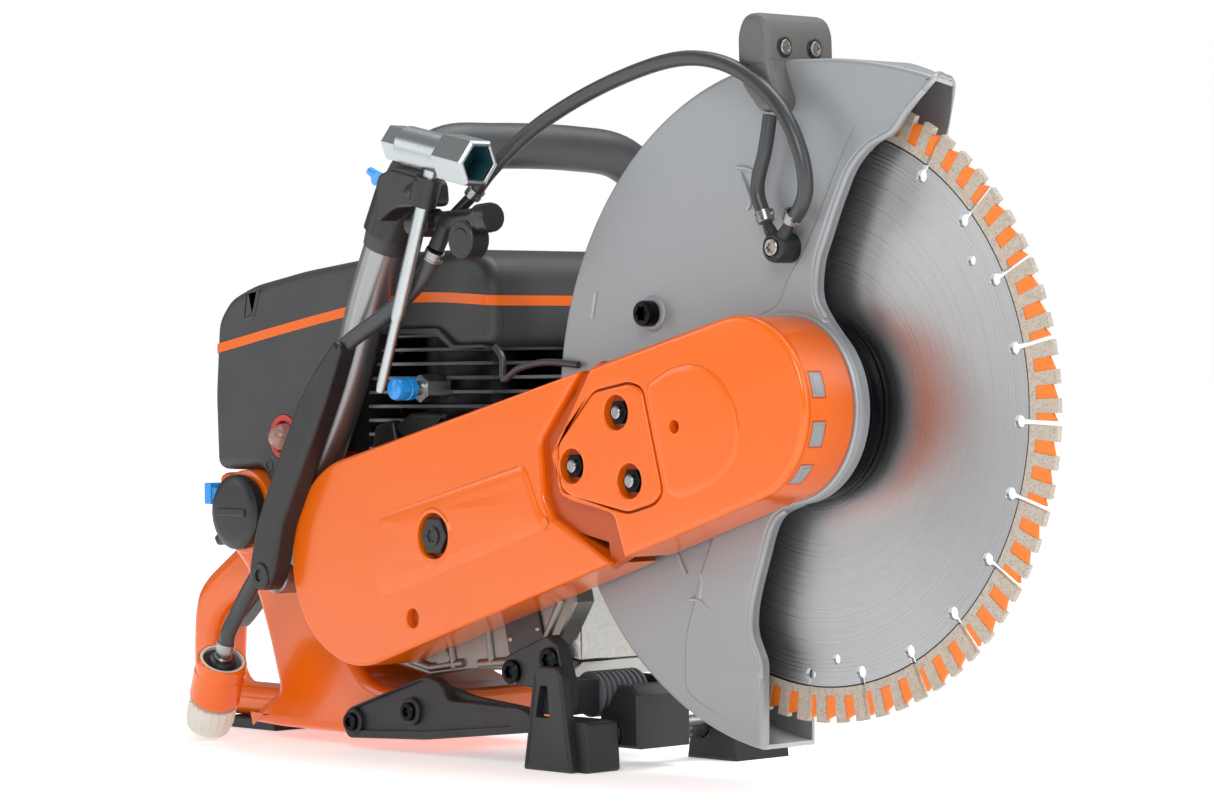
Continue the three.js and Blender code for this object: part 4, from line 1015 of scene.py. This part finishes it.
spring_on_pin = joined(
    coil((-452, -6, 39), (-406, -6, 40), 6.2, 1.3, 8),
    sweep([[-456, -6, 39], [-402, -6, 40]], 3.4, 14),
)
piece("damper_coil_spring", spring_on_pin, black_steel, "machine")
cable = sweep(smooth_path([[-282, -27, 42], [-270, -31, 34], [-268, -32, 20], [-252, -32, 27], [-226, -31, 31],
                           [-196, -28, 29]], 50), 2.4, 14)
piece("throttle_cable", cable, hose_rubber, "machine")
intake = joined(
    slab(soften([[-394, -13], [-376, -3], [-334, -4], [-352, -20], [-384, -21]], 4), rounded_levels(-26, -6, 3, 1)),
    slab(soften([[-424, -36], [-418, -12], [-398, -8], [-392, -30], [-404, -42]], 4), rounded_levels(-24, -4, 3, 1)),
)
piece("intake_elbow", intake, black_nylon, "machine")
red = moulded("red_nylon", "#C22A20", 0.34, 1.4, 0.03)
piece("red_catch", slab(soften([[-482, -31], [-444, -31], [-446, -37], [-462, -42], [-478, -40]], 2),
                        rounded_levels(-30, -18, 1.5)), red, "machine")


# ---- top cover ----------------------------------------------------------------------------
# A matt dark-grey nylon hood, softly rounded, with an orange strip let into its side.
TOP_LINE = soften([
    [-281, 43], [-281, 92], [-290, 104], [-310, 110], [-400, 110], [-424, 107], [-494, 100], [-554, 91], [-582, 82],
    [-597, 66], [-602, 10], [-600, -45.5], [-540, -45.5], [-540, -72], [-466, -72], [-452, -40], [-430, 20],
    [-412, 53], [-338, 53], [-321, 41],
], 9)
hood = moulded("matt_graphite_nylon", "#343537", 0.5, 0.8, 0.07, mottle=0.1)
PRIMER = (-516, -21)
slot_line = soften([[-558, 87], [-541, 89], [-549, 66], [-562, 65]], 3)
primer_hole = [(circle(*PRIMER, 16.5, 40), rounded_levels(-30, -20, 1.5, 0.1))]
near_hood = slab(TOP_LINE, rounded_levels(-30, -20, 9, 0.1), primer_hole)
body_hood = slab(TOP_LINE, [(0, -20.4)] + rounded_levels(-20, 100, 0.01, 9)[6:])
floor_hood = ring_of([(0, -21.5), (17.5, -21.5), (17.5, -20), (0, -20)], *PRIMER)
piece("top_hood", joined(near_hood, body_hood, floor_hood), hood, "machine", "top_cover", crease=40)
STRIPE_LOW = [[-700, 26], [-593, 41.5], [-520, 53.5], [-448, 64.5], [-400, 71], [-370, 74], [-330, 73.5],
              [-281, 70.5], [-200, 66]]
STRIPE_HIGH = [[-700, 33], [-593, 48.5], [-520, 60.5], [-448, 71.5], [-400, 78], [-370, 81], [-330, 80.5],
               [-281, 77.5], [-200, 73]]
low_line, high_line = smooth_path(STRIPE_LOW, 80), smooth_path(STRIPE_HIGH, 80)
ACROSS = 60
rings = []
for drawn, y in rounded_levels(-30.5, 99, 8.6, 8.6, steps=8):
    x = np.linspace(-601 + drawn, -280.5 - drawn, ACROSS)
    low, high = np.interp(x, *low_line.T), np.interp(x, *high_line.T)
    x = x + np.interp(x, [-601 + drawn, -590], [1.2, 0])
    there_and_back = np.append(x, x[::-1])
    rings.append(np.stack([there_and_back, np.full(2 * ACROSS, y), np.append(low, high[::-1])], 1))
n = np.arange(ACROSS - 1)
strip = np.stack([n, n + 1, 2 * ACROSS - 2 - n, 2 * ACROSS - 1 - n], 1)
last = (len(rings) - 1) * 2 * ACROSS
stripe = (np.vstack(rings), skin(len(rings), 2 * ACROSS) + strip.tolist() + (strip + last).tolist())
piece("hood_stripe", stripe, orange, "machine", crease=50)
slot_hole = [(inset(facing(slot_line), 2.6), [(0, -31), (0, -28)])]
lower_lip = soften([[-408, 51.5], [-397, 56], [-338, 56], [-322, 44], [-290, 44], [-284, 41], [-322, 40],
                    [-340, 51]], 2)
hood_details = joined(
    slab(slot_line, [(1.6, -31), (0.6, -30.8), (0, -30.2), (0, -28)], slot_hole),
    ring_of([(3, -29), (3, -30.6), (4.4, -30.6), (5, -29)], -533, -42, 24),
    slab(lower_lip, rounded_levels(-31.4, -20, 1)),
)
piece("hood_details", hood_details, hood, "machine", crease=40)
red_ring = ring_of([(11.6, -23), (11.6, -29), (12.4, -30.2), (14.8, -30.6), (16.4, -30), (16.6, -23)], *PRIMER, 48)
piece("primer_ring", red_ring, red, "machine")
silicone = shader("clear_primer_silicone")
cloud = noise(silicone[1], 90.0, 2.0)
bulb = dressed(silicone, linear("#D9A79A"), 0.14, cloud, 0.2, 0.3, Transmission_Weight=0.55)
dome = [(0, -41), (3, -40.7), (6, -39.4), (8.4, -36.6), (9.6, -33), (10, -29), (10.8, -27.6), (10.8, -22.4),
        (0, -22.4)]
still, moving = [tuple(at([PRIMER[0], y, PRIMER[1]])) for y in (-29, -38)]
presses = ("machine", "primer_bulb", still, moving)
piece("primer_dome", lathe(dome, (PRIMER[0], 0, PRIMER[1])), bulb, presses, "primer_bulb")


# ---- tank and rear handle -----------------------------------------------------------------
# One orange moulding: the fuel tank behind the engine, with the loop handle's round bar.
TANK = soften([
    [-592, -47.5], [-588, -95], [-560, -118], [-545, -141], [-533, -170], [-521, -206], [-540, -216], [-560, -231],
    [-520, -233], [-430, -233], [-350, -224], [-350, -198], [-400, -198], [-420, -192], [-438, -175], [-452, -150],
    [-452, -73.5], [-536, -73.5], [-541, -47.5],
], 7)
LOOP = soften([
    [-580, -78], [-619, -100], [-664, -128], [-676, -139], [-682, -156], [-684, -179], [-684, -222], [-676, -231],
    [-640, -233.5], [-540, -233.5], [-535, -120],
], 12)
WINDOW = soften([[-558, -128], [-600, -134], [-640, -152], [-654, -166], [-656, -200], [-646, -210],
                 [-522, -210]], 10)
FILLER = (-553, -76)
tank = joined(
    slab(TANK, rounded_levels(-34.5, 90, 8, 8)),
    slab(LOOP, rounded_levels(6, 44, 11, 11), [(WINDOW, rounded_levels(6, 44, 9, 9))]),
    ring_of([(24, -38), (29.4, -38), (30.8, -37), (31, -34), (31, -18), (24, -18)], *FILLER, 64),
)
piece("tank_with_rear_handle", tank, orange, "machine", "fuel_tank_handle", crease=40)
cap = [(0, -50.2), (20, -50.2), (24.6, -49.4), (27.2, -47.2), (27.4, -46), (27.4, -41), (26.4, -38.6), (0, -38.6)]
cap_shape = joined(
    lathe(cap, (FILLER[0], 0, FILLER[1]), sides=96, lobes={4: (32, 0.012), 5: (32, 0.012)}),
    slab(soften([[-570, -79], [-570, -73], [-536, -73], [-536, -79]], 2.8), rounded_levels(-51.6, -49.4, 1.2, 0.1)),
)
piece("fuel_filler_cap", cap_shape, black_nylon, "fuel_cap", "fuel_cap")
refined("throttle_trigger", black_nylon, 2.0)
refined("throttle_lockout", black_nylon, 1.8)
refined("choke_lever", blue, 1.4)


# ---- front handle -------------------------------------------------------------------------
# A bent 28 mm tube in worn silver lacquer, with a black rubber sleeve over its upper bow.
HANDLE_R = 14.2
HANDLE_ROUTE = [
    [-481, -50, -107], [-456, -50, -58], [-414, -50, 20], [-387, -49, 87], [-361, -48, 137], [-348, -42, 166],
    [-341, -20, 181], [-336, 20, 184], [-330, 90, 184], [-326, 130, 179], [-325, 154, 162], [-332, 163, 130],
    [-360, 163, 70], [-400, 160, 0], [-446, 150, -70], [-476, 128, -108], [-487, 106, -118],
]
lacquer = painted("worn_silver_lacquer", "#9A9B9D", 0.3, "#8D8E90", 1.4, 0.02, metallic=0.85)
bar_path = smooth_path(HANDLE_ROUTE, 170)
stub = sweep([[-487, 108, -118], [-487, 103, -118], [-487, 92, -118], [-487, 90.6, -118]], [14, 16, 16, 15], 32)
leg = lathe([(0, -62.8), (14, -62.8), (16.4, -61.8), (17, -60), (17, -38), (16.4, -35.8), (14, -35.2), (0, -35.2)],
            (-487, 0, -116))
piece("handle_bar", joined(sweep(bar_path, HANDLE_R, 32), stub, leg), lacquer, "machine",
      "front_handle_tube")
grip_rubber = rubber("moulded_grip_rubber", "#2C2D30", 0.46, 0.7, 0.1)
held = bar_path[bar_path[:, 2] > 108]
taper = np.interp(np.arange(len(held)), [0, 2, len(held) - 3, len(held) - 1], [15.0, 16.2, 16.2, 15.0])
piece("handle_grip_sleeve", sweep(held, taper, 36), grip_rubber, "machine", "handle_grip")
piece("leg_screw", socket_screw((-487, -62, -116), OUT, 8.4, 3, 0.5), black_steel, "machine")


# ---- water valve and hose guide -----------------------------------------------------------
# Black moulded valve on the handle's neck with a blue thumb lever, and the long strip that
# carries the hose down the handle's leg.
refined("water_valve", black_nylon, 1.0)
knob = joined(
    ring_of([(0, -79.4), (7, -79.4), (8, -78.6), (11.6, -78.6), (12.8, -77.4), (12.8, -74), (0, -74)], -257, 114, 48),
    lathe([(0, -1), (8.6, -1), (9.9, 0), (9.9, 3), (9.2, 3.6), (9.9, 4.2), (9.9, 12), (8.8, 14.4), (0, 14.4)],
          (-246, -69.7, 127.9), (82, -4, 2), 40, {5: (16, 0.02), 6: (16, 0.02)}),
)
piece("valve_knob", knob, black_nylon, "machine")
refined("water_valve_lever", blue, 0.8)
GUIDE = soften([
    [-406, 30], [-412, 24], [-428, 4], [-460, -50], [-476, -81], [-486, -116], [-478, -131], [-462, -131],
    [-452, -118], [-443, -84], [-423, -50], [-391, 5], [-372, 44], [-382, 52],
], 6)
guide = joined(
    slab(inset(facing(GUIDE), 2.4), rounded_levels(-89, -73.4, 4, 1)),
    ring_of([(4.4, -86), (4.4, -90.4), (8.4, -90.4), (9.6, -89.4), (9.8, -84), (4.4, -84)], -468, -118, 40),
)
piece("hose_guide_strip", guide, black_nylon, "machine", "hose_guide")
piece("guide_screw", socket_screw((-468, -86.5, -118), OUT, 4.6, 2.2, 0.6), black_steel, "machine")


# ---- combination wrench -------------------------------------------------------------------
# Forged and chromed: a large and a small hexagon socket on one head, with a stepped bar.
refined("wrench_holder", black_nylon, 1.2)
HEAD, HEAD_AXIS = (-274, -85, 173), (0.977, 0, -0.213)
head = joined(
    lathe([(0, -29), (13.4, -29), (13.5, -28), (13.5, 15), (12, 16), (0, 16)], HEAD, HEAD_AXIS, 48),
    lathe([(0, 24), (13, 24), (13, 45), (14, 46.4), (15.2, 46.4), (17.6, 44.4), (17.6, 16), (15, 13.6), (0, 13.6)],
          HEAD, HEAD_AXIS, 6),
    lathe([(0, -30), (9.8, -30), (9.8, -43.4), (10.4, -44.4), (11.8, -44.4), (13.4, -42.8), (13.4, -28), (12, -26),
           (0, -26)], HEAD, HEAD_AXIS, 6),
)
bar = np.array([[-274, -85, 173], [-336, -85, 12]], float)
t = np.array([0, 0.1, 0.66, 0.69, 0.7, 0.97, 1])[:, None]
rod_shape = sweep(bar[0] + (bar[1] - bar[0]) * t, [5, 5, 5, 4.2, 3.6, 3.6, 2.8], 20)
piece("chromed_wrench", joined(head, rod_shape), chrome, "combination_wrench", "combination_wrench",
      crease=25, bevel=0.5)
teal = moulded("blue_black_oxide", "#1D4450", 0.3, 1.0, 0.03)
bore = lathe([(0, 24.2), (12.9, 24.2), (12.9, 43), (12.6, 43), (12.6, 24.8), (0, 24.8)], HEAD, HEAD_AXIS, 6)
piece("socket_bore", bore, teal, "combination_wrench", crease=25)
collar = joined(
    lathe([(5.6, -8), (8.4, -8), (9.4, -7), (9.4, 7), (8.4, 8), (5.6, 8)], (-286, -85, 147), (62, 0, 161), 36),
    slab(soften([[-350, 128], [-350, 160], [-334, 166], [-292, 156], [-290, 138], [-330, 138]], 6),
         rounded_levels(-76, -58, 3)),
)
piece("wrench_collar", collar, black_nylon, "machine")


# ---- under-frame and feet -----------------------------------------------------------------
# Black glass-filled nylon brackets and feet on a bright cross tube, with a ribbed rubber damper.
frame_nylon = moulded("rough_black_nylon", "#242528", 0.5, 0.8, 0.1, mottle=0.2)
BRACKET = soften([[-432, -226], [-427, -213], [-340, -185], [-324, -189], [-317, -201], [-240, -202], [-230, -206],
                  [-230, -218], [-341, -230], [-427, -234]], 5)
rib = soften([[-420, -214], [-342, -190], [-326, -194], [-318, -206], [-250, -207], [-250, -213], [-340, -222],
              [-418, -226]], 4)
BRACKET_SCREWS, FOOT_SCREWS = ((-420, -222), (-356, -211)), ((-250, -178), (-212, -168))
bracket = joined(
    slab(BRACKET, rounded_levels(-42, -35, 2)),
    slab(BRACKET, rounded_levels(-44.5, -40, 1.6, 0.1), [(inset(facing(rib), -1.5), [(0.6, -44.5), (0, -40)])]),
    *[ring_of([(0, -46), (8.4, -46), (9.6, -45), (9.8, -38), (0, -38)], x, z) for x, z in BRACKET_SCREWS],
)
piece("side_bracket_arm", bracket, frame_nylon, "machine", "side_bracket")
belly = soften([[-404, -226], [-404, -203], [-338, -190], [-300, -198], [-236, -203], [-236, -216], [-340, -230]], 5)
piece("belly_pan", slab(belly, rounded_levels(-36.4, -30, 1)), frame_nylon, "machine")
for x, z in BRACKET_SCREWS:
    piece("bracket_screw", socket_screw((x, -45.6, z), OUT, 6.6, 3.6), black_steel, "machine")
refined("foot_bracket", frame_nylon, 2.0)
for x, z in FOOT_SCREWS:
    piece("foot_screw", socket_screw((x, -41.6, z), OUT, 8.2, 4.2), black_steel, "machine")
FOOT = soften([[-232, -242], [-183, -242], [-193, -178], [-198, -172], [-216, -172], [-221, -180]], 2.5)
HATCH = soften([[-219, -206], [-205, -206], [-207, -185], [-214, -185]], 2)
foot = joined(
    slab(FOOT, rounded_levels(-50, -42.2, 2, 0.3), [(HATCH, rounded_levels(-50, -42.2, 1, 0.2))]),
    slab(soften([[-229.5, -242], [-174, -242], [-176, -208], [-226, -208]], 3), rounded_levels(-43, -13, 0.6, 3)),
    slab(soften([[-222, -204], [-202, -204], [-203, -182], [-218, -182]], 2), [(0, -43.6), (0, -41)]),
    *[sweep([[x0, -49.6, -238], [x1, -49.6, -180]], 1.3, 8) for x0, x1 in ((-228, -219), (-187, -195))],
)
piece("right_front_foot", foot, frame_nylon, "machine", "front_foot_right", crease=35)
refined("front_foot_left", frame_nylon, 2.5)
refined("front_support", frame_nylon, 2.5)
refined("rear_foot", frame_nylon, 1.8)
tube_profile = [(0, -11.3), (6, -11.3), (7.6, -10.4), (8, -9), (8, 93.6), (7.4, 95.4), (6, 95.8), (0, 95.8)]
piece("cross_rod", lathe(tube_profile, (-190, 0, -219), sides=36), plated, "machine", "cross_tube")
ribs = [(0, -8), (11, -8)]
for k in range(9):
    y = -7 + 4.85 * k
    ribs += [(14.6, y), (15.6, y + 0.8), (15.6, y + 1.9), (14.6, y + 2.7), (12.2, y + 3.3), (12.2, y + 4.2)]
ribs += [(11, 36), (0, 36)]
damper_rubber = rubber("ribbed_damper_rubber", "#4A4D52", 0.5, 1.0, 0.05)
piece("damper_bellows", lathe([p for p in ribs if p[1] <= 36], (-212, 0, -193.5), sides=40), damper_rubber, "machine",
      "damping_spring")


# ---- recoil starter -----------------------------------------------------------------------
# On the far side: a dark nylon housing with ribs, a T handle and its braided rope.
refined("starter_housing", hood, 3.0)
slat_lines = [np.insert(arc(*CRANK, r, 30, 330, 60), 1, 118.2, axis=1) for r in (26, 34, 42, 50, 58)]
piece("starter_slats", joined(*[sweep(line, 1.6, 8) for line in slat_lines]), hood, "machine")
refined("starter_handle", black_nylon, 1.6)
braided = shader("braided_starter_rope")
tree = braided[1]
twist = {"Vector": place_of(tree), "Scale": 320.0, "Distortion": 1.2}
braid = node(tree, "ShaderNodeTexWave", twist, bands_direction="DIAGONAL").outputs["Fac"]
cordage = dressed(braided, mixed(tree, braid, linear("#8C8A84"), linear("#D8D5CC")), 0.8, braid, 0.4, 0.7)
rope_ends = [[-385, 110, -35.4], [-385, 110, -30], [-385, 110, -22], [-385, 110, -15.8]]
draws = ("machine", "starter_handle", tuple(at(rope_ends[0])), tuple(at(rope_ends[-1])))
piece("starter_rope_stub", sweep(smooth_path(rope_ends, 24), 2.0, 16), cordage, draws, "starter_rope")


# ---- far-side frame screws ----------------------------------------------------------------
# Black screws that hold the starter housing and the tank's far face.
far_screws = [socket_screw((x, 117.5, z), (0, 1, 0), 5.4, 3.4)
              for x, z in ((-330, -60), (-430, -60), (-330, -150), (-430, -152))]
piece("starter_screws", joined(*far_screws), black_steel, "machine")
